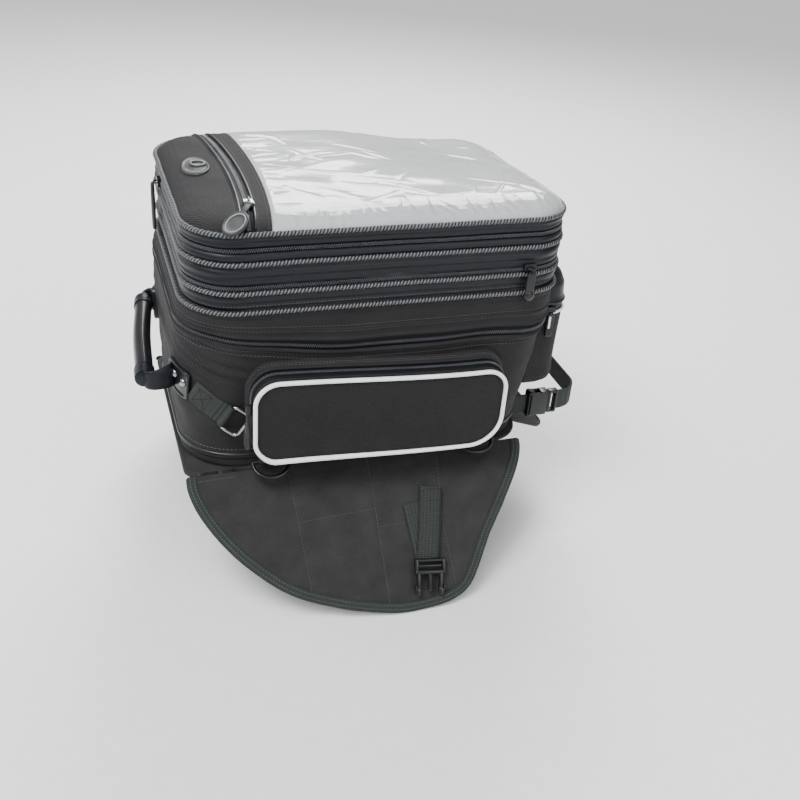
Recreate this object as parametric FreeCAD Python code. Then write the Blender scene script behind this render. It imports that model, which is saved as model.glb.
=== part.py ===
import FreeCAD, Part
import math
import os

# Tank bag: a zip-off bag on a saddle base with side flaps, two zip expansion
# collars, a padded lid with a clear map pocket, two side pockets, a front
# pocket, a rear grab handle and a front quick-release strap.
# Frame: origin at the centre of the underside of the base, +X forward,
# +Y to the left, +Z up. Millimetres.

V = FreeCAD.Vector

# ---------------------------------------------------------------- dimensions
# plan outline: (rear x, front x, width, rear corner radius, front corner radius)
TOP = (-200.0, 200.0, 280.0, 52.0, 46.0)
FOOT = (-184.5, 180.5, 250.0, 70.0, 45.0)
MAIN = [                         # (height, outline) of the main bag, bottom to top
    (20.0, (-186.0, 181.0, 251.0, 70.0, 45.0)),
    (60.0, (-195.0, 186.0, 260.0, 70.0, 44.0)),
    (110.0, (-204.0, 191.5, 270.0, 68.0, 43.0)),
    (150.0, (-208.0, 196.0, 277.0, 64.0, 42.0)),
    (186.0, (-206.5, 198.5, 280.0, 58.0, 42.0)),
    (199.6, (-200.0, 199.6, 280.0, 53.0, 42.0)),
]
WALL = 3.0                       # sewn and padded wall
SPLIT_R, SPLIT_F = -128.0, 150.0  # side seams between the wall panels
Z_SHEET = 4.0                    # saddle sheet
Z_PAD = 14.0                     # top of the base pad
Z_LOW0, Z_LOW1 = 200.0, 221.0    # lower collar
Z_EXP1 = 225.8                   # top of the expansion zip
Z_UP0, Z_UP1 = 226.2, 259.6      # upper collar
Z_LZIP1 = 264.3                  # top of the lid zip
Z_RIM0, Z_RIM1 = 264.7, 277.0    # lid rim
PIPE_R = 2.5                     # rope piping
SLEEVE = 46.0                    # length of the folded expansion sleeves
DOME = [(1.0, 278.0), (8.0, 284.5), (20.0, 289.0), (38.0, 291.0)]  # lid skin: inset, height
MAP_X0, MAP_X1 = -141.0, -126.0  # map zip across the lid
HINGE_Y, HINGE_Z = 130.0, 2.0    # side flap hinge line
FLAP_T = 4.0
FLAP_A0, FLAP_A1, FLAP_L = 34.0, 66.0, 193.0   # flap slope at top and bottom, length
# flap outline, (x, length down the flap)
FLAP = [(-206.5, 3.0), (-207.0, 19.0), (-198.5, 46.0), (-172.5, 87.5), (-144.0, 117.0), (-112.0, 143.0),
        (-65.5, 162.5), (-10.5, 177.0), (27.5, 180.0), (66.5, 174.5), (88.0, 163.0), (103.0, 135.0),
        (119.0, 103.5), (146.5, 65.0), (167.5, 32.0), (175.0, 12.0), (175.5, 3.0)]
WEB = 25.0                       # webbing width
POCKET_Y0, POCKET_Y1 = 166.0, 171.0
POCKET = (-142.0, 131.0, 29.0, 123.0)          # x, x, z, z of the side pocket panel
GRIP_R, GRIP_Z = 9.5, 104.0
GRIP_A, GRIP_B = (-240.0, -86.0), (-223.0, 86.0)   # ends of the grip in plan

os.makedirs("parts", exist_ok=True)
made = []


def save(name, shape):
    shape.exportStep("parts/%s.step" % name)
    solids = shape.Solids
    made.append(name)
    print("%-22s solids %d valid %s volume %.0f" % (name, len(solids), shape.isValid(), sum(s.Volume for s in solids)))


def group(*shapes):
    out = []
    for s in shapes:
        out.extend(s.Solids)
    return Part.makeCompound(out) if len(out) > 1 else out[0]


def mirror(shape):
    return shape.mirror(V(0, 0, 0), V(0, 1, 0))


def arc(a, m, b):
    return Part.Arc(a, m, b).toShape()


def ring(s, z, off=0.0):
    """Rounded rectangle in plan, inset by off."""
    xr, xf, w, rr, rf = s
    xr, xf, h = xr + off, xf - off, w / 2.0 - off
    rr, rf = max(rr - off, 6.0), max(rf - off, 6.0)
    k = math.sqrt(0.5)
    e = [
        Part.makeLine(V(xr + rr, -h, z), V(xf - rf, -h, z)),
        arc(V(xf - rf, -h, z), V(xf - rf + rf * k, -h + rf - rf * k, z), V(xf, -h + rf, z)),
        Part.makeLine(V(xf, -h + rf, z), V(xf, h - rf, z)),
        arc(V(xf, h - rf, z), V(xf - rf + rf * k, h - rf + rf * k, z), V(xf - rf, h, z)),
        Part.makeLine(V(xf - rf, h, z), V(xr + rr, h, z)),
        arc(V(xr + rr, h, z), V(xr + rr - rr * k, h - rr + rr * k, z), V(xr, h - rr, z)),
        Part.makeLine(V(xr, h - rr, z), V(xr, -h + rr, z)),
        arc(V(xr, -h + rr, z), V(xr + rr - rr * k, -h + rr - rr * k, z), V(xr + rr, -h, z)),
    ]
    return Part.Wire(e)


def prism(s, z0, z1, off=0.0):
    return Part.Face(ring(s, z0, off)).extrude(V(0, 0, z1 - z0))


def tube(s, z0, z1, t, off=0.0):
    return prism(s, z0, z1, off).cut(prism(s, z0 - 1, z1 + 1, off + t))


def loft(levels, off=0.0):
    return Part.makeLoft([ring(s, z, off) for z, s in levels], True, True)


def box(x0, x1, y0, y1, z0, z1):
    return Part.makeBox(x1 - x0, y1 - y0, z1 - z0, V(x0, y0, z0))


def pipe(s, z, off, r):
    path = ring(s, z, off)
    xr, xf, w, rr, rf = s
    start = V(xr + off + max(rr - off, 6.0), -w / 2.0 + off, z)
    circle = Part.Wire([Part.makeCircle(r, start, V(1, 0, 0))])
    return Part.Solid(path.makePipeShell([circle], True, True).Shells[0])


def plate_xz(x0, x1, z0, z1, radii, y, off=0.0):
    """Rounded outline in the XZ plane at y; radii bottom-left, bottom-right, top-right, top-left."""
    x0, x1, z0, z1 = x0 + off, x1 - off, z0 + off, z1 - off
    a, b, c, d = [max(r - off, 4.0) for r in radii]
    k = 1 - math.sqrt(0.5)
    p = lambda x, z: V(x, y, z)
    e = [
        Part.makeLine(p(x0 + a, z0), p(x1 - b, z0)),
        arc(p(x1 - b, z0), p(x1 - b * k, z0 + b * k), p(x1, z0 + b)),
        Part.makeLine(p(x1, z0 + b), p(x1, z1 - c)),
        arc(p(x1, z1 - c), p(x1 - c * k, z1 - c * k), p(x1 - c, z1)),
        Part.makeLine(p(x1 - c, z1), p(x0 + d, z1)),
        arc(p(x0 + d, z1), p(x0 + d * k, z1 - d * k), p(x0, z1 - d)),
        Part.makeLine(p(x0, z1 - d), p(x0, z0 + a)),
        arc(p(x0, z0 + a), p(x0 + a * k, z0 + a * k), p(x0 + a, z0)),
    ]
    return Part.Wire(e)


def polygon(points):
    return Part.Wire([Part.makeLine(a, b) for a, b in zip(points, points[1:] + points[:1])])


def rod(points, r, close=False):
    """Round wire along straight runs joined by small arcs."""
    pts = [V(*p) for p in points]
    n = len(pts)
    edges = []
    rad = 2.2 * r
    ends = []
    for i in range(n):
        if not close and i in (0, n - 1):
            ends.append((pts[i], pts[i], None))
            continue
        a, b, c = pts[i - 1], pts[i], pts[(i + 1) % n]
        u, w = (a - b).normalize(), (c - b).normalize()
        half = math.acos(max(-1, min(1, u.dot(w)))) / 2.0
        d = rad / math.tan(half)
        m = (u + w).normalize()
        centre = b + m * (rad / math.sin(half))
        ends.append((b + u * d, b + w * d, centre - m * rad))
    for i in range(n):
        s, e, mid = ends[i]
        if mid is not None:
            edges.append(arc(s, mid, e))
        if i < n - 1 or close:
            edges.append(Part.makeLine(e, ends[(i + 1) % n][0]))
    path = Part.Wire(Part.__sortEdges__(edges))
    e0 = path.OrderedEdges[0]
    p0 = e0.valueAt(e0.FirstParameter)
    t0 = e0.tangentAt(e0.FirstParameter)
    circle = Part.Wire([Part.makeCircle(r, p0, t0)])
    return Part.Solid(path.makePipeShell([circle], True, True).Shells[0])


# ---------------------------------------------------------------- base
sheet_s = (-206.0, 184.0, 2 * (HINGE_Y - 2.0), 34.0, 40.0)
drop = 40.0
tongue = Part.Face(polygon([V(183.5, -88, 0), V(183.5, -88, Z_SHEET), V(246, -88, -drop + Z_SHEET), V(246, -88, -drop)])).extrude(V(0, 176, 0))
taper = Part.Face(polygon([V(183, -88, 40), V(250, -58, 40), V(250, 58, 40), V(183, 88, 40)])).extrude(V(0, 0, -120))
tongue = tongue.common(taper)
save("saddle_base", prism(sheet_s, 0, Z_SHEET).fuse(tongue).removeSplitter())
save("base_pad", prism(FOOT, Z_SHEET, Z_PAD))
side_web = box(-112, 133, -127.2, -125, 4, 13)
tab_n = box(182.6, 206, -80.4, -77.6, 1.5, 26.5).cut(box(180, 207, -81, -77, 0, 4.0))
tab_f = box(182.6, 196, 77.6, 80.4, 4.0, 26.5)
save("base_webbing", group(side_web, mirror(side_web), tab_n.cut(box(180, 190, -90, -70, -1, Z_SHEET)), tab_f))

# ---------------------------------------------------------------- front quick-release strap
BK_Y, BK_Z = -79.0, 15.0
body = box(206, 232, BK_Y - 6.5, BK_Y + 6.5, BK_Z - 17, BK_Z + 17)
body = body.makeFillet(4.0, [e for e in body.Edges if abs(e.tangentAt(e.FirstParameter).y) > 0.9])
body = body.cut(box(212, 233, BK_Y - 3.6, BK_Y + 3.6, BK_Z - 12.5, BK_Z + 12.5))
save("front_buckle_socket", body)
plug = box(232.5, 246, BK_Y - 4.5, BK_Y + 4.5, BK_Z - 15, BK_Z + 15)
plug = plug.cut(box(238.5, 242, BK_Y - 6, BK_Y + 6, BK_Z - 12.7, BK_Z + 12.7))
for s in (-1, 1):
    plug = plug.fuse(box(214, 232.6, BK_Y - 3, BK_Y + 3, BK_Z + s * 9 - 2.6, BK_Z + s * 9 + 2.6))
plug = plug.fuse(box(214, 232.6, BK_Y - 2, BK_Y + 2, BK_Z - 1.5, BK_Z + 1.5)).removeSplitter()
save("front_buckle_plug", plug)
LX, LY, LR = 246.0, 79.0, 28.0       # loop: start, half width, corner radius
LD = 276.0                        # how far forward it reaches


def u_path(o):
    """Half of the loop's plan outline, offset outwards by o."""
    y, x, r, k = LY + o, LD + o, LR + o, math.sqrt(0.5)
    return [V(LX, -y, 2.5), V(x - r, -y, 2.5), V(x - r + r * k, -y + r - r * k, 2.5), V(x, -y + r, 2.5),
            V(x, y - r, 2.5), V(x - r + r * k, y - r + r * k, 2.5), V(x - r, y, 2.5), V(197.0, y, 2.5)]


uo, ui = u_path(1.2), u_path(-1.2)
outer = Part.Wire([
    Part.makeLine(uo[0], uo[1]), arc(uo[1], uo[2], uo[3]), Part.makeLine(uo[3], uo[4]), arc(uo[4], uo[5], uo[6]),
    Part.makeLine(uo[6], uo[7]), Part.makeLine(uo[7], ui[7]), Part.makeLine(ui[7], ui[6]), arc(ui[6], ui[5], ui[4]),
    Part.makeLine(ui[4], ui[3]), arc(ui[3], ui[2], ui[1]), Part.makeLine(ui[1], ui[0]), Part.makeLine(ui[0], uo[0])])
save("front_strap_loop", Part.Face(outer).extrude(V(0, 0, WEB)))

# ---------------------------------------------------------------- main bag
main_out = loft(MAIN)
lv_in = [(MAIN[0][0] - 1, MAIN[0][1])] + MAIN[1:-1] + [(MAIN[-1][0] + 1, MAIN[-1][1])]
wall = main_out.cut(loft(lv_in, WALL))
save("wall_right", wall.common(box(SPLIT_R, SPLIT_F, -200, 0, 0, 260)))
save("wall_left", wall.common(box(SPLIT_R, SPLIT_F, 0, 200, 0, 260)))
save("wall_rear", wall.common(box(-300, SPLIT_R, -200, 200, 0, 260)))
save("wall_front", wall.common(box(SPLIT_F, 300, -200, 200, 0, 260)))
save("bag_floor", prism(MAIN[0][1], 20.0, 23.5, WALL))
save("base_zip", tube(FOOT, Z_PAD + 0.4, 20.0, 2.6, 0.3))
save("rim_piping", group(pipe(TOP, 196.4, -1.2, 2.4).cut(main_out)))
grow = loft([(z, s) for z, s in MAIN], -1.6).cut(main_out)
zip_band = grow.common(box(-300, 170, -200, 200, 142, 163))
save("main_zip", group(zip_band))

# side pockets: gusset ring fixed to the wall, panel hinged at its lower edge
px0, px1, pz0, pz1 = POCKET
rad1 = (24.0, 36.0, 24.0, 26.0)
rad0 = (26.0, 38.0, 26.0, 28.0)


def pocket_body(off, y_in, y_out):
    return Part.makeLoft([plate_xz(px0 - 3, px1 + 9, pz0 - 4, pz1 + 10, rad0, y_in, off),
                          plate_xz(px0, px1, pz0, pz1, rad1, y_out, off)], True, True)


gus = pocket_body(0.0, -118.0, -POCKET_Y0).cut(pocket_body(2.6, -117.0, -POCKET_Y0 - 0.5)).cut(main_out)
gus = max(gus.Solids, key=lambda s: s.Volume)
save("pocket_gusset_right", gus)
save("pocket_gusset_left", mirror(gus))
panel = Part.makeLoft([plate_xz(px0, px1, pz0, pz1, rad1, -POCKET_Y0 - 0.4, 0.0),
                       plate_xz(px0, px1, pz0, pz1, rad1, -POCKET_Y1 + 1.0, 0.0),
                       plate_xz(px0, px1, pz0, pz1, rad1, -POCKET_Y1 - 1.6, 7.0)], True, True)
save("pocket_panel_right", panel)
save("pocket_panel_left", mirror(panel))

# front pocket: fixed lower shell, hinged cap
FP = (150.0, 229.0, 206.0, 6.0, 24.0)
shell = prism(FP, 58, 154).cut(prism(FP, 60.6, 156, 2.6)).cut(main_out)
shell = max(shell.Solids, key=lambda s: s.Volume)
save("front_pocket_shell", shell)
CAP = [(155.4, (150.0, 229.0, 206.0, 6.0, 24.0)), (180.0, (150.0, 228.0, 204.0, 6.0, 24.0)),
       (194.0, (150.0, 221.0, 194.0, 6.0, 24.0)), (203.0, (150.0, 210.0, 178.0, 6.0, 22.0))]
CAP_IN = [(153.4, (150.0, 229.0, 206.0, 6.0, 24.0)), (180.0, (150.0, 228.0, 204.0, 6.0, 24.0)),
          (192.0, (150.0, 220.0, 192.0, 6.0, 24.0)), (200.2, (150.0, 208.0, 174.0, 6.0, 22.0))]
cap = loft(CAP).cut(loft(CAP_IN, 2.6)).cut(loft(MAIN, -0.4)).cut(prism(TOP, 188, 210, -4.0))
cap = max(cap.Solids, key=lambda s: s.Volume)
save("front_pocket_cap", cap)

# ---------------------------------------------------------------- corner plates, ring tabs, rings, handle
def corner_box(angle, z, w, h, tilt, depth=36.0):
    """Box standing on the rear right corner at an angle from the rear, tilted in its own plane."""
    cx0, cy0, r = -137.0, -67.0, 68.0
    a = math.radians(angle)
    n = V(-math.cos(a), -math.sin(a), 0)
    b = Part.makeBox(depth, w, h, V(-depth / 2, -w / 2, -h / 2))
    b.rotate(V(0, 0, 0), V(1, 0, 0), tilt)
    b.rotate(V(0, 0, 0), V(0, 0, 1), angle + 180.0)
    b.translate(V(cx0, cy0, z) + n * r)
    return b


PLATE_A, PLATE_Z = 15.0, 99.0     # the plate sits on the rear corner at this angle and height
skin4 = loft(MAIN, -3.6).cut(main_out)
plate = skin4.common(corner_box(PLATE_A, PLATE_Z, 34.0, 42.0, -20.0))
save_plates = max(plate.Solids, key=lambda s: s.Volume)
rivets = []
for dz, da in ((1.3, -7.5), (-1.3, 7.5)):
    a = math.radians(PLATE_A + da)
    n = V(-math.cos(a), -math.sin(a), 0)
    c = V(-135.0, -65.5, PLATE_Z + dz) + n * 69.0
    head = Part.makeCylinder(4.0, 6.0, c, n)
    rivets.append(max(head.cut(loft(MAIN, -3.6)).Solids, key=lambda s: s.Volume))
save("handle_plates", group(*([save_plates, mirror(save_plates)] + rivets + [mirror(r) for r in rivets])))

RING_PHI, RING_Z, TAB_B = 60.0, 73.5, math.radians(28.0)   # place on the corner, height, slope of the tab
RING_L = 18.0                     # length of the ring beyond the fold
ra = math.radians(RING_PHI)
nrm = V(-math.cos(ra), -math.sin(ra), -0.1).normalize()
hor = V(math.sin(ra), -math.cos(ra), 0)
ver = hor.cross(nrm)
ver = ver * (1 if ver.z > 0 else -1)
d = hor * math.cos(TAB_B) - ver * math.sin(TAB_B)      # along the tab, forward and down
p = hor * math.sin(TAB_B) + ver * math.cos(TAB_B)      # along the ring's bar
RC = V(-128.0 - math.cos(ra) * 74.0, -61.9 - math.sin(ra) * 74.0, RING_Z)


def oriented(c, x, y, z, l, w, h):
    """Box centred on c with its sides along x, y and z."""
    b = Part.makeBox(l, w, h, V(-l / 2, -w / 2, -h / 2))
    m = FreeCAD.Matrix(x.x, y.x, z.x, c.x, x.y, y.y, z.y, c.y, x.z, y.z, z.z, c.z, 0, 0, 0, 1)
    b.Placement = FreeCAD.Placement(m)
    return b


skin2 = loft(MAIN, -2.4).cut(main_out)
back = math.radians(RING_PHI - 12.0)
hor2 = V(math.sin(back), -math.cos(back), 0)
nrm2 = V(-math.cos(back), -math.sin(back), 0)
ver2 = V(0, 0, 1)
d2 = hor2 * math.cos(TAB_B) - ver2 * math.sin(TAB_B)
p2 = hor2 * math.sin(TAB_B) + ver2 * math.cos(TAB_B)
tab = skin2.common(oriented(RC - d * 17.5, d2, p2, nrm2, 30.0, WEB, 40.0))
tab = max(tab.Solids, key=lambda s: s.Volume).cut(save_plates)
tab = max(tab.Solids, key=lambda s: s.Volume)
loops = [box(xc - 13, xc + 13, -130.6, -120, 20.6, 25.8).cut(main_out).cut(gus) for xc in (-118.5, 116.0)]
loops = [max(q.Solids, key=lambda w: w.Volume) for q in loops]
save("ring_tabs", group(*([tab, mirror(tab)] + loops + [mirror(q) for q in loops])))
q = [RC + d * 1.4 - p * 14.6, RC + d * RING_L - p * 14.6, RC + d * RING_L + p * 14.6, RC + d * 1.4 + p * 14.6]
ring_r = rod([(w.x, w.y, w.z) for w in q], 1.9, True)
save("side_ring_right", ring_r)
save("side_ring_left", mirror(ring_r))
axis = d.cross(nrm)
print("ring hinge", RC + d * 1.4, "axis", axis, "eye", RC + d * (RING_L + 1.4) / 2, "ring x max", ring_r.BoundBox.XMax)

ga, gb = V(GRIP_A[0], GRIP_A[1], GRIP_Z), V(GRIP_B[0], GRIP_B[1], GRIP_Z)
gd = (gb - ga).normalize()
grip = Part.makeCylinder(GRIP_R, (gb - ga).Length, ga, gd)
grip = grip.makeFillet(2.5, [e for e in grip.Edges if len(e.Vertexes) == 1])
save("handle_grip", grip)


def strap_end(points):
    return Part.Face(polygon([V(x, y, 92) for x, y in points])).extrude(V(0, 0, WEB - 1))


near = strap_end([(-208.5, -102), (-232, -99), (-245, -94), (-246, -86.8), (-235, -85.8), (-233, -91.5), (-208.5, -95)])
far = strap_end([(-208.5, 98), (-222, 98.5), (-229, 94), (-229, 86.6), (-217.5, 87.4), (-217.5, 91), (-208.5, 91)])
save("handle_straps", group(near.cut(grip), far.cut(grip)))

# ---------------------------------------------------------------- expansion collars
def bead(z):
    b = pipe(TOP, z, -1.2, PIPE_R).cut(prism(TOP, z - 8, z + 8))
    return group(b)


save("lower_collar", tube(TOP, Z_LOW0, Z_LOW1, WALL))
save("lower_piping", bead(217.6))
save("expansion_zip", tube(TOP, Z_LOW1, Z_EXP1, 3.2, 0.6))
save("upper_collar", tube(TOP, Z_UP0, Z_UP1, WALL))
save("upper_piping", bead(248.4))
save("lid_zip", tube(TOP, Z_UP1, Z_LZIP1, 3.2, 0.6))
INNER = (-197.0, 195.0, 274.0, 58.0, 44.0)


def sleeve(z_top, off):
    s = tube(INNER, z_top - SLEEVE, z_top, 1.6, off)
    flange = prism(TOP, z_top - 3.0, z_top, WALL).cut(prism(INNER, z_top - 4.0, z_top + 1, off + 0.8))
    return s.fuse(flange).removeSplitter()


save("lower_gusset", sleeve(206.5, 1.6))
save("upper_gusset", sleeve(232.0, 5.0))

# ---------------------------------------------------------------- lid
save("lid_rim", tube(TOP, Z_RIM0, Z_RIM1, WALL))
lp = pipe(TOP, 278.0, -0.6, PIPE_R).cut(prism(TOP, 262, Z_RIM1))
dome = Part.makeLoft([ring(TOP, 276.9, 1.0)] + [ring(TOP, z, o) for o, z in DOME], True, True)
lp = lp.cut(dome)
save("lid_piping", group(lp))
core = Part.makeLoft([ring(TOP, 269.0, WALL)] + [ring(TOP, 277.0, WALL)] +
                     [ring(TOP, z - 3.6, o + 2.6) for o, z in DOME[1:]], True, True)


def skin(t_z, t_o):
    inner = Part.makeLoft([ring(TOP, 276.0, 1.0 + t_o)] + [ring(TOP, z - t_z, o + t_o) for o, z in DOME], True, True)
    s = dome.cut(inner).cut(box(-300, 300, -300, 300, 270, Z_RIM1))
    return group(*[q for q in s.Solids if q.BoundBox.ZMax > 290.5])


thin = skin(1.2, 1.0)
thick = skin(2.4, 1.8)
rear_skin = thick.common(box(-300, MAP_X0, -300, 300, 200, 400))
zip_skin = thick.common(box(MAP_X0, MAP_X1, -300, 300, 200, 400))
core = core.cut(rear_skin).cut(zip_skin)
save("lid_panel", max(core.Solids, key=lambda s: s.Volume))
save("map_window", group(thin.common(box(MAP_X1, 300, -300, 300, 200, 400))))
save("map_zip", group(zip_skin))
save("lid_rear_panel", group(rear_skin))
lift = Part.makeLoft([ring(TOP, 276.9, 0.0)] + [ring(TOP, z + 2.6, o) for o, z in DOME], True, True).cut(dome)
ell = Part.Face(Part.Wire([Part.Ellipse(V(-168.0, 12.0 + 24.0, 200), V(-168.0 + 17.0, 12.0, 200), V(-168.0, 12.0, 200)).toShape()])).extrude(V(0, 0, 200))
port = lift.common(ell)
port = max(port.Solids, key=lambda s: s.Volume)
port = port.fuse(Part.makeCylinder(9.0, 2.6, V(-166, 14, 293.2), V(0, 0, 1)).cut(Part.makeCylinder(4.0, 6, V(-166, 14, 293.2), V(0, 0, 1))))
save("headphone_port", port)


# ---------------------------------------------------------------- zip sliders and pullers
def slider(l, w, t):
    b = Part.makeBox(l, w, t, V(-l / 2, -w / 2, 0))
    b = b.makeFillet(1.2, [e for e in b.Edges if abs(e.tangentAt(e.FirstParameter).z) > 0.9])
    loop = rod([(-l / 4 - 1, 0, t - 1.0), (-l / 4, 0, t + 3.4), (l / 4, 0, t + 3.4), (l / 4 + 1, 0, t - 1.0)], 0.8)
    return b.fuse(loop).removeSplitter()


def place(shape, pos, *turns):
    s = shape.copy()
    for axis, ang in turns:
        s.rotate(V(0, 0, 0), V(*axis), ang)
    s.translate(V(*pos))
    return s


# map zip slider on the lid, its tongue hangs over the right edge
MS = (-133.5, -98.0, 291.3)
save("map_slider", place(slider(13.0, 9.0, 3.6), MS, ((0, 0, 1), 90)))
tongue_len = 47.0
pull = Part.makeBox(16.0, 5.0, 2.4, V(0, -2.5, -1.2)).fuse(
    Part.Face(Part.Wire([Part.Ellipse(V(31.0 + 16.0, 0, -1.8), V(31.0, 10.5, -1.8), V(31.0, 0, -1.8)).toShape()])).extrude(V(0, 0, 3.6)))
PULL_TILT = 21.0
save("map_puller", place(pull, (MS[0], MS[1] - 6.8, MS[2] + 5.6), ((0, 1, 0), PULL_TILT), ((0, 0, 1), -90)))

# lid zip slider on the rear face, cord loop puller hanging from it
LS = (-200.0 - 0.4, 52.0, 262.0)
save("lid_slider", place(slider(13.0, 9.0, 3.6), LS, ((0, 1, 0), -90), ((1, 0, 0), 90)))
lp_x = LS[0] - 8.4
loop = rod([(lp_x, LS[1] - 1.5, LS[2] - 3.0), (lp_x, LS[1] - 3.3, LS[2] - 20.0), (lp_x, LS[1] - 3.3, LS[2] - 52.0),
            (lp_x, LS[1] + 3.3, LS[2] - 52.0), (lp_x, LS[1] + 3.3, LS[2] - 20.0), (lp_x, LS[1] + 1.5, LS[2] - 3.0)], 1.6, True)
save("lid_puller", loop)

# expansion zip slider at the front right corner
ES = (152.0, -140.4, 226.0)
save("expansion_slider", place(slider(13.0, 9.0, 3.6), ES, ((1, 0, 0), 90)))
ep = Part.makeBox(10.0, 2.4, 30.0, V(ES[0] - 5, -140.4 - 9.6, ES[2] - 33.5))
ep = ep.fuse(Part.makeCylinder(5.6, 3.4, V(ES[0], -140.4 - 6.7, ES[2] - 31.0), V(0, -1, 0)))
save("expansion_puller", ep)

# side pocket sliders with their ribbed tongues, at the rear end of each pocket zip
ps = Part.makeBox(4.2, 8.5, 12.5, V(-147.6, -166.0, 84.0))
pt = Part.makeBox(3.4, 8.5, 30.0, V(-149.4, -167.4, 54.5)).fuse(Part.makeBox(1.6, 5.0, 8.0, V(-148.4, -164.5, 80.0)))
pk = ps.fuse(pt).removeSplitter()
save("pocket_slider_right", pk)
save("pocket_slider_left", mirror(pk))
fs = Part.makeBox(12.0, 4.0, 8.5, V(198.5, -107.6, 150.0)).fuse(Part.makeBox(8.5, 3.2, 30.0, V(200.5, -109.4, 121.0))).removeSplitter()
save("front_pocket_slider", fs)


# ---------------------------------------------------------------- side flaps
def flap_at(t, dn=0.0):
    """Point and slope on the flap's outer face at length t, lifted by dn."""
    n = 60
    y, z = -HINGE_Y, HINGE_Z + FLAP_T / 2
    for i in range(n):
        a = math.radians(FLAP_A0 + (FLAP_A1 - FLAP_A0) * (t * (i + 0.5) / n) / FLAP_L)
        y -= t / n * math.cos(a)
        z -= t / n * math.sin(a)
    a = math.radians(FLAP_A0 + (FLAP_A1 - FLAP_A0) * t / FLAP_L)
    return V(0, y - dn * math.sin(a), z + dn * math.cos(a)), a


def flap_plate(t0, t1, d0, d1, x0, x1):
    """Curved plate that follows the flap between two lengths and two lifts."""
    tm = (t0 + t1) / 2
    o = [flap_at(t, d1)[0] for t in (t0, tm, t1)]
    i = [flap_at(t, d0)[0] for t in (t0, tm, t1)]
    w = Part.Wire([arc(*o), Part.makeLine(o[2], i[2]), arc(i[2], i[1], i[0]), Part.makeLine(i[0], o[0])])
    f = Part.Face(w)
    f.translate(V(x0, 0, 0))
    return f.extrude(V(x1 - x0, 0, 0))


flap = flap_plate(2.0, FLAP_L + 6, -FLAP_T, 0.0, -230, 230)
pts = [V(x, -500, flap_at(t)[0].z) for x, t in FLAP]
top = [V(FLAP[-1][0] - 1, -500, 40), V(FLAP[0][0] + 1, -500, 40)]
curve = Part.BSplineCurve()
curve.interpolate(pts)
cutter = Part.Face(Part.Wire([curve.toShape(), Part.makeLine(pts[-1], top[0]), Part.makeLine(top[0], top[1]), Part.makeLine(top[1], pts[0])])).extrude(V(0, 480, 0))
flap = flap.common(cutter)
flap = max(flap.Solids, key=lambda s: s.Volume)
# magnets are sealed in stitched pockets in the middle of the flap
mags = []
holes = []
for mx, mt in ((-52.0, 104.0), (-52.0, 38.0), (30.0, 40.0), (104.0, 42.0)):
    mags.append(flap_plate(mt - 20, mt + 20, -FLAP_T + 1.2, -1.2, mx - 22, mx + 22))
for m in mags:
    flap = flap.cut(m)
save("flap_right", flap)
save("flap_left", mirror(flap))
save("flap_magnets_right", group(*mags))
save("flap_magnets_left", group(*[mirror(m) for m in mags]))

ST, SB = (56.0, 47.0), (39.5, 130.0)      # strap: (x, length down the flap) at top and bottom
strap = flap_plate(ST[1], SB[1], 0.5, 2.9, 0, 100)
zt, zb = flap_at(ST[1])[0].z + 6, flap_at(SB[1])[0].z - 6
strap = strap.common(Part.Face(polygon([V(ST[0] - WEB / 2, -500, zt), V(ST[0] + WEB / 2, -500, zt),
                                        V(SB[0] + WEB / 2, -500, zb), V(SB[0] - WEB / 2, -500, zb)])).extrude(V(0, 480, 0)))
strap = strap.Solids[0]
bt = 148.0
bp, ba = flap_at(bt, 1.5)
L2 = 24.0
buckle = Part.makeBox(34.0, 14.0, 7.0, V(-17.0, -L2, 0)).fuse(Part.makeBox(34.0, 3.0, 7.0, V(-17.0, -L2 + 14, 0)))
buckle = buckle.cut(Part.makeBox(26.6, 3.6, 9.0, V(-13.3, -L2 + 7.5, -1)))
for s in (-1, 1):
    arm = Part.makeBox(5.0, 33.0, 6.0, V(s * 12.5 - 2.5, -L2 + 16.9, 0.5))
    head = Part.makeBox(8.0, 10.0, 6.0, V(s * 13.0 - 4.0, -L2 + 38.0, 0.5))
    buckle = buckle.fuse(arm).fuse(head)
buckle = buckle.fuse(Part.makeBox(5.0, 27.0, 5.0, V(-2.5, -L2 + 16.9, 0.5))).removeSplitter()
buckle.rotate(V(0, 0, 0), V(0, 0, 1), 180)
buckle.rotate(V(0, 0, 0), V(1, 0, 0), math.degrees(ba))
buckle.translate(V(38.5, bp.y, bp.z))
strap = max(strap.cut(buckle).Solids, key=lambda s: s.Volume)
save("flap_strap_right", strap)
save("flap_strap_left", mirror(strap))
save("flap_buckle_right", buckle)
save("flap_buckle_left", mirror(buckle))

# D-rings hang over the base zip from the foot of the main bag
rings = []
DR_Y, DR_Z = -133.0, 23.6
for xc in (-118.5, 116.0):
    pts = [(xc + u, DR_Y, DR_Z - w) for u, w in ((-19.0, 0.0), (-19.0, 6.0), (-12.5, 15.2), (12.5, 15.2), (19.0, 6.0), (19.0, 0.0))]
    rings.append(rod(pts, 2.0, True))
save("d_rings_right", group(*rings))
save("d_rings_left", group(*[mirror(r) for r in rings]))
r0 = (DR_Y, DR_Z)
print("ring line", r0)
print("flap end", flap_at(FLAP_L)[0], "strap top", flap_at(ST[1], 1.7), "buckle", bp)
print(len(made), "nodes")
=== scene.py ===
import math
import bmesh
import bpy
import numpy as np
from mathutils import Matrix, Vector


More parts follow.
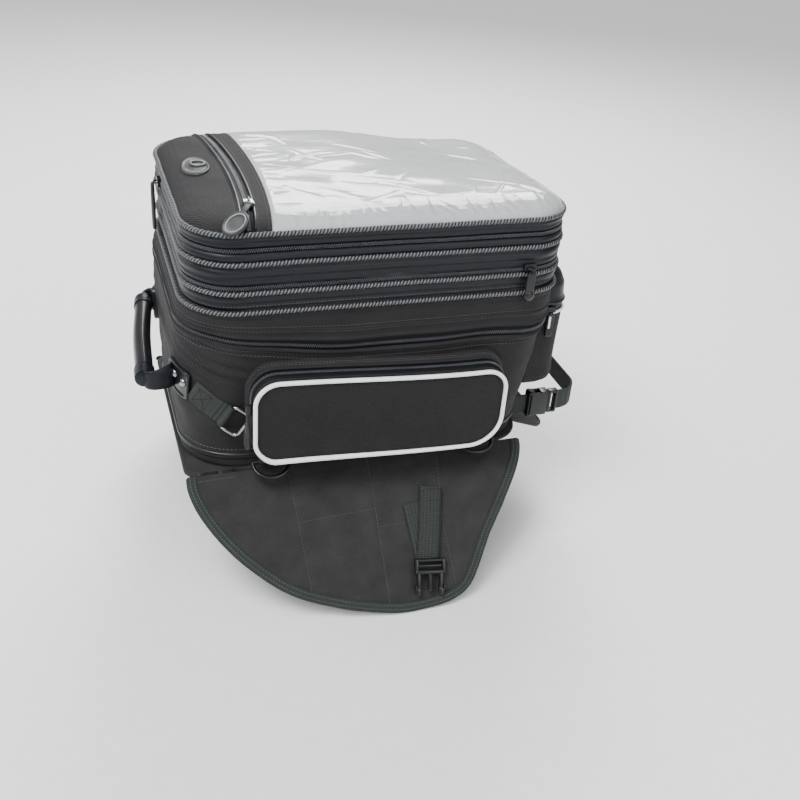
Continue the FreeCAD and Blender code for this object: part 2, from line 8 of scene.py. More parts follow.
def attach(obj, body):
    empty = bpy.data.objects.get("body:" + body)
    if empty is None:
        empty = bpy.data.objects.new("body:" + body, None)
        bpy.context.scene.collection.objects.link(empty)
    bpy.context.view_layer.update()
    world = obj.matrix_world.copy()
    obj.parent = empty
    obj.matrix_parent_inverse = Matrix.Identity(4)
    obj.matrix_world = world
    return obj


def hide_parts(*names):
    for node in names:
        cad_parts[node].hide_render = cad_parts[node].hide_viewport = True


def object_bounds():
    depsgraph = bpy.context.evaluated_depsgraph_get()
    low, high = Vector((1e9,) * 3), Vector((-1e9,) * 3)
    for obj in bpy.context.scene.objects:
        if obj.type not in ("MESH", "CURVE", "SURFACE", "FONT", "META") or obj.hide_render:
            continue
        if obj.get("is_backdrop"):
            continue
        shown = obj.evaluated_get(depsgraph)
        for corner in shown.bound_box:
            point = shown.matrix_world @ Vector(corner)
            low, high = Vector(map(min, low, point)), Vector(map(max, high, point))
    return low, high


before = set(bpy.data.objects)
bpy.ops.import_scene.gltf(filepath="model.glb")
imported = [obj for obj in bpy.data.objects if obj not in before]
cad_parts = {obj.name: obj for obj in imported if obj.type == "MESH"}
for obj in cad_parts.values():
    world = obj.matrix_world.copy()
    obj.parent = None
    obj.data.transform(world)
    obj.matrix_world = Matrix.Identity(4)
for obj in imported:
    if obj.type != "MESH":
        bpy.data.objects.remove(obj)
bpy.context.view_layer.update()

# Everything is laid out in millimetres in the part's frame and scaled when a mesh is made.
TOP = (-200.0, 200.0, 280.0, 52.0, 46.0)
FOOT = (-204.0, 180.5, 250.0, 60.0, 45.0)
LEVELS = [
    (-10.0, FOOT), (19.9, FOOT),
    (20.0, (-204.5, 181.0, 251.0, 60.0, 45.0)),
    (60.0, (-207.0, 186.0, 260.0, 64.0, 44.0)),
    (110.0, (-210.0, 191.5, 270.0, 66.0, 43.0)),
    (150.0, (-210.0, 196.0, 277.0, 63.0, 42.0)),
    (186.0, (-207.0, 198.5, 280.0, 57.0, 42.0)),
    (199.6, (-200.5, 199.6, 280.0, 53.0, 42.0)),
    (200.0, TOP), (400.0, TOP)]
COUNTS = (120, 26, 60, 24, 100, 30, 50, 34)


# ------------------------------------------------------------------ numbers
def ss(x, a, b):
    t = np.clip((np.asarray(x, float) - a) / (b - a), 0, 1)
    return t * t * (3 - 2 * t)


def gauss(x, c, w):
    return np.exp(-((x - c) / w) ** 2)


def noise3(P, scale, seed, n=7):
    """Smooth waves in space, about -1 to 1."""
    rng = np.random.RandomState(seed)
    out = np.zeros(P.shape[:-1])
    for _ in range(n):
        k = rng.normal(size=3)
        k *= (0.6 + 0.8 * rng.rand()) / np.linalg.norm(k)
        out += np.sin(2 * math.pi * (P @ k) / scale + rng.rand() * 6.283)
    return out / math.sqrt(n) * 0.9


def sag(P):
    """The padded top settles towards its far front corner."""
    k = ss(P[:, 0], -20, 150) * ss(P[:, 1], -100, 120) * ss(P[:, 2], 100, 260)
    Q = P.copy()
    Q[:, 2] -= 15.0 * k
    return Q


def unit(v):
    v = np.asarray(v, float)
    return v / np.maximum(np.linalg.norm(v, axis=-1, keepdims=True), 1e-9)


# ------------------------------------------------------------------ meshes
class Geo:
    """Collects faces, with a texture place in millimetres for each corner."""

    def __init__(self):
        self.v, self.f, self.uv, self.n = [], [], [], 0

    def add(self, V, F, UV=None):
        V = np.asarray(V, float).reshape(-1, 3)
        F = np.asarray(F, int)
        self.v.append(V)
        self.f.append(F + self.n)
        self.uv.append(np.zeros(F.shape + (2,)) if UV is None else np.asarray(UV, float))
        self.n += len(V)
        return self

    def grid(self, P, U=None, W=None, closed=False, flip=False):
        """Rows by columns of points. closed joins the last column to the first; U and W then have one more column."""
        P = np.asarray(P, float)
        R, N = P.shape[:2]
        M = N if closed else N - 1
        i, j = np.meshgrid(np.arange(R - 1), np.arange(M), indexing="ij")
        j2 = (j + 1) % N
        F = np.stack([i * N + j, i * N + j2, (i + 1) * N + j2, (i + 1) * N + j], -1).reshape(-1, 4)
        if U is None:
            U = np.zeros((R, M + 1))
            W = U
        UV = np.stack([np.stack([X[:-1, :M], X[:-1, 1:M + 1], X[1:, 1:M + 1], X[1:, :M]], -1) for X in (U, W)], -1).reshape(-1, 4, 2)
        if flip:
            F, UV = F[:, ::-1], UV[:, ::-1]
        return self.add(P.reshape(-1, 3), F, UV)

    def mirrored(self):
        g = Geo()
        g.v = [v * np.array([1, -1, 1.0]) for v in self.v]
        g.f = [f[:, ::-1] for f in self.f]
        g.uv = [u[:, ::-1] for u in self.uv]
        g.n = self.n
        return g

    def join(self, other):
        for V, F, UV in zip(other.v, other.f, other.uv):
            self.v.append(V)
            self.f.append(F + self.n)
            self.uv.append(UV)
        self.n += other.n
        return self

    def obj(self, name, mat, body, slot=None, replaces=(), smooth=True, warp=True, merge=None):
        V = np.concatenate(self.v)
        if warp:
            V = sag(V)
        me = bpy.data.meshes.new(name)
        sizes = np.concatenate([np.full(len(f), f.shape[1]) for f in self.f])
        loops = np.concatenate([f.ravel() for f in self.f])
        me.vertices.add(len(V))
        me.vertices.foreach_set("co", (V * 0.001).astype(np.float32).ravel())
        me.loops.add(len(loops))
        me.loops.foreach_set("vertex_index", loops.astype(np.int32))
        me.polygons.add(len(sizes))
        me.polygons.foreach_set("loop_start", np.concatenate([[0], np.cumsum(sizes)[:-1]]).astype(np.int32))
        me.polygons.foreach_set("loop_total", sizes.astype(np.int32))
        me.polygons.foreach_set("use_smooth", np.full(len(sizes), smooth))
        me.update(calc_edges=True)
        layer = me.uv_layers.new(name="UVMap")
        layer.data.foreach_set("uv", np.concatenate([u.reshape(-1, 2) for u in self.uv]).astype(np.float32).ravel())
        me.validate()
        if merge:
            bm = bmesh.new()
            bm.from_mesh(me)
            bmesh.ops.remove_doubles(bm, verts=bm.verts, dist=merge * 0.001)
            bm.to_mesh(me)
            bm.free()
            me.polygons.foreach_set("use_smooth", np.full(len(me.polygons), smooth))
        ob = bpy.data.objects.new(name, me)
        bpy.context.scene.collection.objects.link(ob)
        me.materials.append(mat)
        if body:
            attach(ob, body)
        if replaces:
            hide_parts(*replaces)
        return ob


def resample(P, step, closed=False):
    """Points at an even distance along a line, with their tangents and distances."""
    P = np.asarray(P, float)
    if closed:
        P = np.vstack([P, P[:1]])
    d = np.concatenate([[0], np.cumsum(np.linalg.norm(np.diff(P, axis=0), axis=1))])
    n = max(2, int(round(d[-1] / step)))
    s = np.linspace(0, d[-1], n + 1)
    Q = np.stack([np.interp(s, d, P[:, k]) for k in range(3)], 1)
    if closed:
        Q, s = Q[:-1], s[:-1]
        T = unit(np.roll(Q, -1, 0) - np.roll(Q, 1, 0))
    else:
        T = unit(np.gradient(Q, axis=0))
    return Q, T, s, d[-1]


def smooth_line(P, step=2.0, closed=False, rounds=2):
    """Corner-cutting through a few points."""
    P = np.asarray(P, float)
    for _ in range(rounds + 1):
        if closed:
            A, B = P, np.roll(P, -1, 0)
            P = np.stack([0.75 * A + 0.25 * B, 0.25 * A + 0.75 * B], 1).reshape(-1, P.shape[1])
        else:
            A, B = P[:-1], P[1:]
            mid = np.stack([0.75 * A + 0.25 * B, 0.25 * A + 0.75 * B], 1).reshape(-1, P.shape[1])
            P = np.vstack([P[:1], mid[1:-1], P[-1:]])
    return resample(P, step, closed)[0]


def frames(P, T, up, closed):
    """A normal for each point that keeps close to up."""
    up = np.asarray(up, float)
    if up.ndim == 1:
        up = np.repeat(up[None], len(P), 0)
    N = unit(up - (up * T).sum(1, keepdims=True) * T)
    return N, np.cross(T, N)


def tube(G, P, r, step=1.5, sides=10, closed=False, up=(0, 0, 1), twist=0.0, lobes=0, depth=0.0, caps=True, scale=None, cut=None):
    """A round line. lobes with a twist give the look of laid rope."""
    Q, T, s, total = resample(P, step, closed)
    N, B = frames(Q, T, up, closed)
    a = np.linspace(0, 2 * math.pi, sides, endpoint=False)
    R = np.full((len(Q), sides), float(r))
    if scale is not None:
        R *= scale(s / total)[:, None]
    if lobes:
        R *= 1 + depth * (np.abs(np.cos((a[None] * lobes + 2 * math.pi * s[:, None] / twist) / 2)) - 0.6)
    X = Q[:, None] + R[..., None] * (np.cos(a)[None, :, None] * N[:, None] + np.sin(a)[None, :, None] * B[:, None])
    W = np.repeat(np.append(a, 2 * math.pi)[None] / (2 * math.pi), len(Q), 0)
    U = np.repeat(s[:, None], sides + 1, 1)
    if closed:
        X = np.concatenate([X, X[:1]])
        U = np.concatenate([U, np.full((1, sides + 1), total)])
        W = np.concatenate([W, W[:1]])
    G.grid(X, U, W, closed=True)
    if caps and not closed:
        for k, tip in ((0, Q[0] - T[0] * r * 0.4), (-1, Q[-1] + T[-1] * r * 0.4)):
            base = X[k]
            V = np.vstack([base, tip[None]])
            j = np.arange(sides)
            F = np.stack([j, (j + 1) % sides, np.full(sides, sides)], 1)
            G.add(V, F if k else F[:, ::-1])
    return G


def ribbon(G, P, N, width, thick, step=2.0, closed=False, bulge=0.0, wfun=None):
    """A strap: P is its centreline, N the direction out of its face. It is closed all round."""
    P = np.asarray(P, float)
    Nn = np.asarray(N, float)
    if Nn.ndim == 1:
        Nn = np.repeat(Nn[None], len(P), 0)
    d = np.concatenate([[0], np.cumsum(np.linalg.norm(np.diff(P, axis=0), axis=1))])
    n = max(2, int(round(d[-1] / step)))
    s = np.linspace(0, d[-1], n + 1)
    Q = np.stack([np.interp(s, d, P[:, k]) for k in range(3)], 1)
    M = unit(np.stack([np.interp(s, d, Nn[:, k]) for k in range(3)], 1))
    T = unit(np.gradient(Q, axis=0))
    M = unit(M - (M * T).sum(1, keepdims=True) * T)
    B = np.cross(M, T)
    w = np.full(len(Q), width) if wfun is None else np.array([wfun(x) for x in s / d[-1]])
    half = w[:, None] / 2
    t = thick / 2
    prof = [(-1, -0.5), (-1, 0.5), (-0.965, 1), (-0.6, 1), (-0.2, 1), (0.2, 1), (0.6, 1), (0.965, 1), (1, 0.5), (1, -0.5),
            (0.965, -1), (0.6, -1), (0.2, -1), (-0.2, -1), (-0.6, -1), (-0.965, -1)]
    rows = []
    for a, b in prof:
        rows.append(Q + B * (half * a) + M * (t * b + bulge * (1 - a * a) * (1 if b > 0 else 0)))
    X = np.stack(rows, 1)
    a = np.array([p[0] for p in prof])
    across = np.append(a, a[0])[None] * half
    U = np.repeat(s[:, None], len(prof) + 1, 1)
    G.grid(X, U, across, closed=True, flip=True)
    for k in (0, -1):
        V = X[k]
        F = np.arange(len(prof))[None]
        G.add(V, F[:, ::-1] if k == -1 else F)
    return G


def beads(G, P, N, pitch, length, width, height, closed=False, across=False, phase=0.0, sink=0.25, tilt=0.0):
    """Small rounded bumps at an even pitch: stitches along a line, or the coil of a zip across it."""
    Q, T, s, total = resample(P, pitch, closed)
    Nn = np.asarray(N, float)
    if Nn.ndim == 1:
        Nn = np.repeat(Nn[None], len(Q), 0)
    else:
        PP = np.vstack([P, P[:1]]) if closed else P
        NN = np.vstack([Nn, Nn[:1]]) if closed else Nn
        d = np.concatenate([[0], np.cumsum(np.linalg.norm(np.diff(PP, axis=0), axis=1))])
        Nn = unit(np.stack([np.interp(s, d, NN[:, k]) for k in range(3)], 1))
    B = np.cross(Nn, T)
    if phase:
        Q = Q + T * phase
    if across:
        T, B = B, -T
    if tilt:
        T, B = unit(T + B * tilt), unit(B - T * tilt)
    rings = [(-0.5, 0.0), (-0.36, 0.8), (0.0, 1.0), (0.36, 0.8), (0.5, 0.0)]
    ang = np.radians([0, 45, 90, 135, 180])
    tpl = []
    for x, k in rings[1:-1]:
        for a in ang:
            tpl.append((x * length, math.cos(a) * width / 2 * k, (math.sin(a) * k - sink) * height))
    tpl.append((-0.5 * length, 0, -sink * height))
    tpl.append((0.5 * length, 0, -sink * height))
    tpl = np.array(tpl)
    m = 5
    F = []
    for r in range(2):
        for c in range(m - 1):
            F.append((r * m + c, r * m + c + 1, (r + 1) * m + c + 1, (r + 1) * m + c))
    F3 = []
    for c in range(m - 1):
        F3.append((15, c + 1, c))
        F3.append((16, 2 * m + c, 2 * m + c + 1))
    V = Q[:, None] + tpl[None, :, 0, None] * T[:, None] + tpl[None, :, 1, None] * B[:, None] + tpl[None, :, 2, None] * Nn[:, None]
    k = len(tpl)
    off = (np.arange(len(Q)) * k)[:, None, None]
    F = (np.array(F)[None] + off).reshape(-1, 4)
    F3 = (np.array(F3)[None] + off).reshape(-1, 3)
    G.v.append(V.reshape(-1, 3))
    for Fx in (F, F3):
        G.f.append(Fx + G.n)
        G.uv.append(np.zeros(Fx.shape + (2,)))
    G.n += len(Q) * k
    return G


def rbox(G, size, at, R=None, bevel=1.0, seg=3, taper=None):
    """A block with rounded edges. R has the block's own axes as columns."""
    bm = bmesh.new()
    bmesh.ops.create_cube(bm, size=1.0)
    for v in bm.verts:
        v.co = Vector((v.co.x * size[0], v.co.y * size[1], v.co.z * size[2]))
        if taper:
            v.co = Vector(taper(v.co))
    b = min(bevel, min(size) * 0.49)
    bmesh.ops.bevel(bm, geom=bm.edges[:], offset=b, segments=seg, profile=0.5, affect="EDGES")
    bm.verts.ensure_lookup_table()
    V = np.array([v.co[:] for v in bm.verts])
    R = np.eye(3) if R is None else np.asarray(R, float)
    V = V @ R.T + np.asarray(at, float)
    by = {}
    for f in bm.faces:
        by.setdefault(len(f.verts), []).append([v.index for v in f.verts])
    bm.verts.index_update()
    base = G.n
    G.v.append(V)
    G.n += len(V)
    for k, F in by.items():
        F = np.array(F)
        G.f.append(F + base)
        L = V[F]
        G.uv.append(np.stack([L[..., 0] + L[..., 1], L[..., 2] + L[..., 1]], -1))
    bm.free()
    return G


def dome_head(G, at, n, r, h, sides=20):
    n = unit(n)
    t = unit(np.cross(n, [0.3, 0.2, 1]))
    b = np.cross(n, t)
    a = np.linspace(0, 2 * math.pi, sides, endpoint=False)
    prof = [(1.0, -0.3), (1.02, 0.1), (0.9, 0.45), (0.7, 0.75), (0.4, 0.95), (0.15, 1.0), (0.001, 1.0)]
    X = np.array([[at + (t * math.cos(k) + b * math.sin(k)) * r * p + n * h * q for k in a] for p, q in prof])
    return G.grid(X, closed=True)


# ------------------------------------------------------------------ materials
def links(m):
    nt = m.node_tree
    return nt, nt.nodes["Principled BSDF"]


class Nodes:
    def __init__(self, nt):
        self.nt = nt

    def put(self, sock, v):
        if isinstance(v, (int, float)):
            sock.default_value = v
        elif isinstance(v, (tuple, list)):
            sock.default_value = tuple(v) + ((1.0,) if len(v) == 3 and len(sock.default_value) == 4 else ())
        else:
            self.nt.links.new(v, sock)

    def m(self, op, a, b=0.0, c=None):
        n = self.nt.nodes.new("ShaderNodeMath")
        n.operation = op
        self.put(n.inputs[0], a)
        self.put(n.inputs[1], b)
        if c is not None:
            self.put(n.inputs[2], c)
        return n.outputs[0]

    def uv(self):
        t = self.nt.nodes.new("ShaderNodeTexCoord")
        s = self.nt.nodes.new("ShaderNodeSeparateXYZ")
        self.nt.links.new(t.outputs["UV"], s.inputs[0])
        return s.outputs[0], s.outputs[1], t

    def wave(self, x, pitch, phase=0.0):
        return self.m("SINE", self.m("MULTIPLY_ADD", x, 2 * math.pi / pitch, phase))

    def noise(self, scale, detail=3.0, rough=0.55, vec=None, coord=None):
        n = self.nt.nodes.new("ShaderNodeTexNoise")
        self.put(n.inputs["Scale"], scale)
        self.put(n.inputs["Detail"], detail)
        self.put(n.inputs["Roughness"], rough)
        if coord is None:
            coord = self.nt.nodes.new("ShaderNodeTexCoord").outputs["Object"]
        self.nt.links.new(coord, n.inputs["Vector"])
        return n.outputs["Fac"]

    def mix(self, f, a, b):
        n = self.nt.nodes.new("ShaderNodeMix")
        n.data_type = "RGBA"
        self.put(n.inputs[0], f)
        self.put(n.inputs[6], a)
        self.put(n.inputs[7], b)
        return n.outputs[2]

    def bump(self, h, strength, distance, normal=None):
        n = self.nt.nodes.new("ShaderNodeBump")
        self.put(n.inputs["Strength"], strength)
        self.put(n.inputs["Distance"], distance)
        self.nt.links.new(h, n.inputs["Height"])
        if normal is not None:
            self.nt.links.new(normal, n.inputs["Normal"])
        return n.outputs[0]

    def range(self, x, a, b, c, d):
        n = self.nt.nodes.new("ShaderNodeMapRange")
        self.put(n.inputs[0], x)
        for k, v in zip((1, 2, 3, 4), (a, b, c, d)):
            self.put(n.inputs[k], v)
        return n.outputs[0]


def base(name, col, rough, metal=0.0, sheen=0.0, spec=0.5):
    m = bpy.data.materials.new(name)
    m.use_nodes = True
    nt, b = links(m)
    b.inputs["Base Color"].default_value = (*col, 1)
    b.inputs["Roughness"].default_value = rough
    b.inputs["Metallic"].default_value = metal
    b.inputs["Specular IOR Level"].default_value = spec
    if sheen:
        b.inputs["Sheen Weight"].default_value = sheen
        b.inputs["Sheen Roughness"].default_value = 0.45
        b.inputs["Sheen Tint"].default_value = (0.8, 0.82, 0.85, 1)
    return m, Nodes(nt), b


def dark(c, k):
    return tuple(x * k for x in c)


def cloth(name, col, rough=0.8, pitch=2.4, contrast=0.5, bump=0.5, sheen=0.12, patch=0.25, spec=0.35, coarse=1.0):
    """Twill: slanted ribs broken into threads."""
    m, n, b = base(name, col, rough, sheen=sheen, spec=spec)
    u, v, tc = n.uv()
    s, d = n.m("ADD", u, v), n.m("SUBTRACT", u, v)
    rib = n.m("MULTIPLY_ADD", n.wave(s, pitch), 0.5, 0.5)
    thread = n.m("MULTIPLY_ADD", n.wave(d, pitch * 0.62), 0.5, 0.5)
    h = n.m("MULTIPLY", rib, n.m("MULTIPLY_ADD", thread, 0.55, 0.45))
    cloud = n.noise(38.0, 4.0)
    fine = n.noise(900.0, 2.0)
    tone = n.m("ADD", n.m("MULTIPLY", h, contrast), n.m("MULTIPLY", n.m("SUBTRACT", cloud, 0.5), patch * 2))
    tone = n.m("ADD", tone, n.m("MULTIPLY", n.m("SUBTRACT", fine, 0.5), 0.3))
    c = n.mix(n.range(tone, -0.2, 0.8, 0.0, 1.0), dark(col, 0.5), dark(col, 1.75))
    n.nt.links.new(c, b.inputs["Base Color"])
    hh = n.m("ADD", h, n.m("MULTIPLY", fine, 0.35))
    slow = n.bump(n.noise(70.0 * coarse, 3.0), 0.35, 0.0025)
    n.nt.links.new(n.bump(hh, bump, 0.0006, slow), b.inputs["Normal"])
    return m


def smooth_cloth(name, col, rough=0.5, fold=0.35, spec=0.3):
    """Close-woven band with a dull sheen."""
    m, n, b = base(name, col, rough, spec=spec)
    u, v, tc = n.uv()
    weave = n.m("MULTIPLY", n.wave(u, 1.1), n.wave(v, 1.1))
    slow = n.noise(55.0, 4.0, 0.6)
    c = n.mix(n.range(n.m("ADD", slow, n.m("MULTIPLY", weave, 0.08)), 0.3, 0.75, 0.0, 1.0), dark(col, 0.65), dark(col, 1.5))
    n.nt.links.new(c, b.inputs["Base Color"])
    n.nt.links.new(n.range(slow, 0.3, 0.7, rough - 0.08, rough + 0.12), b.inputs["Roughness"])
    big = n.bump(slow, fold, 0.003)
    n.nt.links.new(n.bump(weave, 0.18, 0.0003, big), b.inputs["Normal"])
    return m


def webbing(name, col, pitch=1.5, rough=0.72, along=1.9):
    """Woven strap: ribs across it and lines of thread along it."""
    m, n, b = base(name, col, rough, sheen=0.02, spec=0.22)
    u, v, tc = n.uv()
    rib = n.m("ABSOLUTE", n.wave(n.m("ADD", u, n.m("MULTIPLY", n.m("ABSOLUTE", n.wave(v, along * 2)), 0.5)), pitch * 2))
    line = n.m("ABSOLUTE", n.wave(v, along * 2))
    h = n.m("ADD", n.m("MULTIPLY", rib, 0.65), n.m("MULTIPLY", line, 0.35))
    fine = n.noise(700.0, 2.0)
    tone = n.m("ADD", h, n.m("MULTIPLY", n.m("SUBTRACT", fine, 0.5), 0.5))
    c = n.mix(n.range(tone, 0.1, 1.05, 0.0, 1.0), dark(col, 0.35), dark(col, 1.7))
    n.nt.links.new(c, b.inputs["Base Color"])
    n.nt.links.new(n.bump(h, 0.8, 0.0007), b.inputs["Normal"])
    return m


def rope_mat(name, light, darkc, pitch=4.4):
    """Laid cord: light and dark strands in turn. The texture place is (distance, turn round the cord)."""
    m, n, b = base(name, light, 0.5, spec=0.4)
    u, v, tc = n.uv()
    w = n.m("SINE", n.m("ADD", n.m("MULTIPLY", u, 2 * math.pi / pitch), n.m("MULTIPLY", v, 4 * math.pi)))
    fine = n.noise(1500.0, 2.0)
    f = n.range(n.m("ADD", w, n.m("MULTIPLY", fine, 0.5)), 0.1, 0.9, 0.0, 1.0)
    n.nt.links.new(n.mix(f, darkc, light), b.inputs["Base Color"])
    n.nt.links.new(n.bump(w, 0.5, 0.0005), b.inputs["Normal"])
    return m


def plain(name, col, rough, metal=0.0, bump=0.15, scale=900.0, spec=0.5, var=0.25, coat=0.0):
    m, n, b = base(name, col, rough, metal, spec=spec)
    f = n.noise(scale, 4.0)
    slow = n.noise(60.0, 3.0)
    n.nt.links.new(n.mix(n.range(slow, 0.3, 0.7, 0.0, 1.0), dark(col, 1 - var), tuple(min(1.0, x * (1 + var)) for x in col)), b.inputs["Base Color"])
    n.nt.links.new(n.range(f, 0.2, 0.8, max(0.02, rough - 0.07), min(1.0, rough + 0.1)), b.inputs["Roughness"])
    n.nt.links.new(n.bump(f, bump, 0.0003), b.inputs["Normal"])
    if coat:
        b.inputs["Coat Weight"].default_value = coat
        b.inputs["Coat Roughness"].default_value = 0.15
    return m


def film(name):
    """Clear film: mostly passes light, with a bright glancing shine."""
    m = bpy.data.materials.new(name)
    m.use_nodes = True
    nt, b = links(m)
    n = Nodes(nt)
    b.inputs["Base Color"].default_value = (0.80, 0.81, 0.82, 1)
    b.inputs["Roughness"].default_value = 0.14
    b.inputs["Specular IOR Level"].default_value = 0.9
    b.inputs["Coat Weight"].default_value = 1.0
    b.inputs["Coat Roughness"].default_value = 0.05
    slow = n.noise(26.0, 4.0, 0.55)
    fine = n.noise(160.0, 3.0, 0.5)
    nt.links.new(n.bump(fine, 0.25, 0.0009, n.bump(slow, 0.25, 0.003)), b.inputs["Normal"])
    clear = nt.nodes.new("ShaderNodeBsdfTransparent")
    clear.inputs[0].default_value = (0.93, 0.94, 0.95, 1)
    fres = nt.nodes.new("ShaderNodeFresnel")
    fres.inputs["IOR"].default_value = 1.5
    mixer = nt.nodes.new("ShaderNodeMixShader")
    k = n.m("MULTIPLY_ADD", fres.outputs[0], 2.0, 0.22)
    nt.links.new(k, mixer.inputs[0])
    nt.links.new(clear.outputs[0], mixer.inputs[1])
    nt.links.new(b.outputs[0], mixer.inputs[2])
    nt.links.new(mixer.outputs[0], nt.nodes["Material Output"].inputs["Surface"])
    return m


M_TWILL = cloth("bag_twill", (0.0145, 0.0140, 0.0150), 0.75, 3.0, 0.95, 0.9, 0.02, spec=0.20)
M_PANEL = cloth("pocket_twill", (0.0105, 0.0102, 0.0106), 0.72, 3.0, 1.0, 1.0, 0.015, spec=0.22)
M_FLAP = cloth("flap_twill", (0.0275, 0.0265, 0.0270), 0.82, 2.4, 0.55, 0.6, 0.02, 0.35, spec=0.16)
M_LIDREAR = cloth("lid_twill", (0.0130, 0.0125, 0.0135), 0.75, 2.8, 0.9, 0.8, 0.02, spec=0.2)
M_BAND = smooth_cloth("band_cloth", (0.0045, 0.0060, 0.0090), 0.42, spec=0.26)
M_TAPE = smooth_cloth("zip_tape", (0.0025, 0.0032, 0.0045), 0.62, 0.1, spec=0.15)
M_BIND = webbing("binding_tape", (0.024, 0.029, 0.0255), 1.1, 0.75, 1.5)
M_WEB = webbing("grey_webbing", (0.025, 0.030, 0.027), 1.45, 0.7, 2.1)
M_WEBD = webbing("ribbed_webbing", (0.019, 0.0225, 0.0205), 2.1, 0.62, 4.0)
M_ROPE = rope_mat("piping_rope", (0.135, 0.142, 0.150), (0.004, 0.004, 0.005), 3.5)
M_SEAM = plain("seam_piping", (0.0085, 0.0092, 0.0105), 0.36, spec=0.5)
M_REFLECT = plain("reflective_piping", (0.86, 0.87, 0.88), 0.42, bump=0.1, var=0.04)
M_COIL = plain("zip_coil", (0.036, 0.040, 0.047), 0.3, spec=0.7)
M_THREAD = plain("thread", (0.060, 0.060, 0.062), 0.6, spec=0.3)
M_THREADG = plain("thread_green", (0.075, 0.088, 0.078), 0.65, spec=0.3)
M_THREADD = plain("thread_dark", (0.006, 0.006, 0.007), 0.6, spec=0.3)
M_PLASTIC = plain("black_plastic", (0.0055, 0.006, 0.0068), 0.32, bump=0.12, scale=500, spec=0.38)
M_RUBBER = plain("grey_rubber", (0.018, 0.019, 0.0195), 0.45, bump=0.2, scale=600, spec=0.4)
M_RUBBERG = plain("green_rubber", (0.013, 0.016, 0.0145), 0.45, bump=0.2, scale=600, spec=0.4)
M_RUBBERL = plain("pale_rubber", (0.22, 0.23, 0.235), 0.5, bump=0.2, scale=600, spec=0.4)
M_GRIP = plain("grip_rubber", (0.0055, 0.0058, 0.0065), 0.34, bump=0.25, scale=420, spec=0.5)
M_STEEL = plain("bright_wire", (0.34, 0.34, 0.35), 0.24, metal=1.0, bump=0.05, var=0.08)
M_ENAMEL = plain("black_enamel", (0.012, 0.013, 0.015), 0.28, metal=0.5, bump=0.05)
M_LINING = cloth("inside_lining", (0.030, 0.030, 0.033), 0.8, 1.6, 0.25, 0.3, 0.0, 0.12, 0.2)
M_WHITE = cloth("map_lining", (0.66, 0.67, 0.68), 0.85, 1.4, 0.06, 0.2, 0.0, 0.05, 0.3)
M_FILM = film("clear_film")
M_FLOOR = plain("floor_paint", (0.84, 0.84, 0.84), 0.8, bump=0.05, scale=60, var=0.02)


# ------------------------------------------------------------------ the bag's outline
def outline(s, off=0.0):
    xr, xf, w, rr, rf = s
    h = w / 2.0
    P, N = [], []

    def line(a, b, n, count):
        for t in np.arange(count) / count:
            P.append((a[0] + (b[0] - a[0]) * t, a[1] + (b[1] - a[1]) * t))
            N.append(n)

    def bend(c, r, a0, a1, count):
        for t in np.arange(count) / count:
            a = math.radians(a0 + (a1 - a0) * t)
            P.append((c[0] + r * math.cos(a), c[1] + r * math.sin(a)))
            N.append((math.cos(a), math.sin(a)))

    line((xr + rr, -h), (xf - rf, -h), (0, -1), COUNTS[0])
    bend((xf - rf, -h + rf), rf, -90, 0, COUNTS[1])
    line((xf, -h + rf), (xf, h - rf), (1, 0), COUNTS[2])
    bend((xf - rf, h - rf), rf, 0, 90, COUNTS[3])
    line((xf - rf, h), (xr + rr, h), (0, 1), COUNTS[4])
    bend((xr + rr, h - rr), rr, 90, 180, COUNTS[5])
    line((xr, h - rr), (xr, -h + rr), (-1, 0), COUNTS[6])
    bend((xr + rr, -h + rr), rr, 180, 270, COUNTS[7])
    P, N = np.array(P), np.array(N)
    return P + off * N, N


NC = sum(COUNTS)
LZ = np.array([z for z, _ in LEVELS])
LP = np.array([outline(s)[0] for _, s in LEVELS])
RN = outline(TOP)[1]
top0 = outline(TOP)[0]
seg = np.linalg.norm(np.roll(top0, -1, 0) - top0, axis=1)
RU = np.concatenate([[0], np.cumsum(seg)])            # distance round the outline, one more than the columns
U0 = RU[:-1]
TOTAL = RU[-1]
I_REAR = sum(COUNTS[:6])                              # columns of the rear face start here
U_A = U0[sum(COUNTS[:5])]                             # rear left corner starts
U_B = U0[I_REAR + COUNTS[6]]                          # rear right corner starts


def side_s():
    """Distance forward from the rear end of each straight side, negative round the rear corners; the same on both sides."""
    s = np.where(U0 > U_B - 90, U0 - TOTAL, U0)
    left = U_A - U0
    return np.where((U0 > 560) & (U0 <= U_B - 90), left, s)


SS = side_s()


def shell_pts(Z, off, fold=True):
    """Points on the bag's outer surface for heights Z (rows, columns), pushed out by off."""
    Z = np.asarray(Z, float)
    if Z.ndim == 1:
        Z = np.repeat(Z[:, None], NC, 1)
    off = np.broadcast_to(np.asarray(off, float).reshape(-1, 1) if np.ndim(off) == 1 else off, Z.shape)
    k = np.clip(np.searchsorted(LZ, Z) - 1, 0, len(LZ) - 2)
    t = (Z - LZ[k]) / (LZ[k + 1] - LZ[k])
    j = np.broadcast_to(np.arange(NC)[None], Z.shape)
    B = LP[k, j] * (1 - t)[..., None] + LP[k + 1, j] * t[..., None]
    P = np.concatenate([B, Z[..., None]], -1)
    d = off.copy() if isinstance(off, np.ndarray) else off
    if fold:
        d = d + folds(P, Z)
    P[..., :2] += RN[None] * d[..., None]
    return P


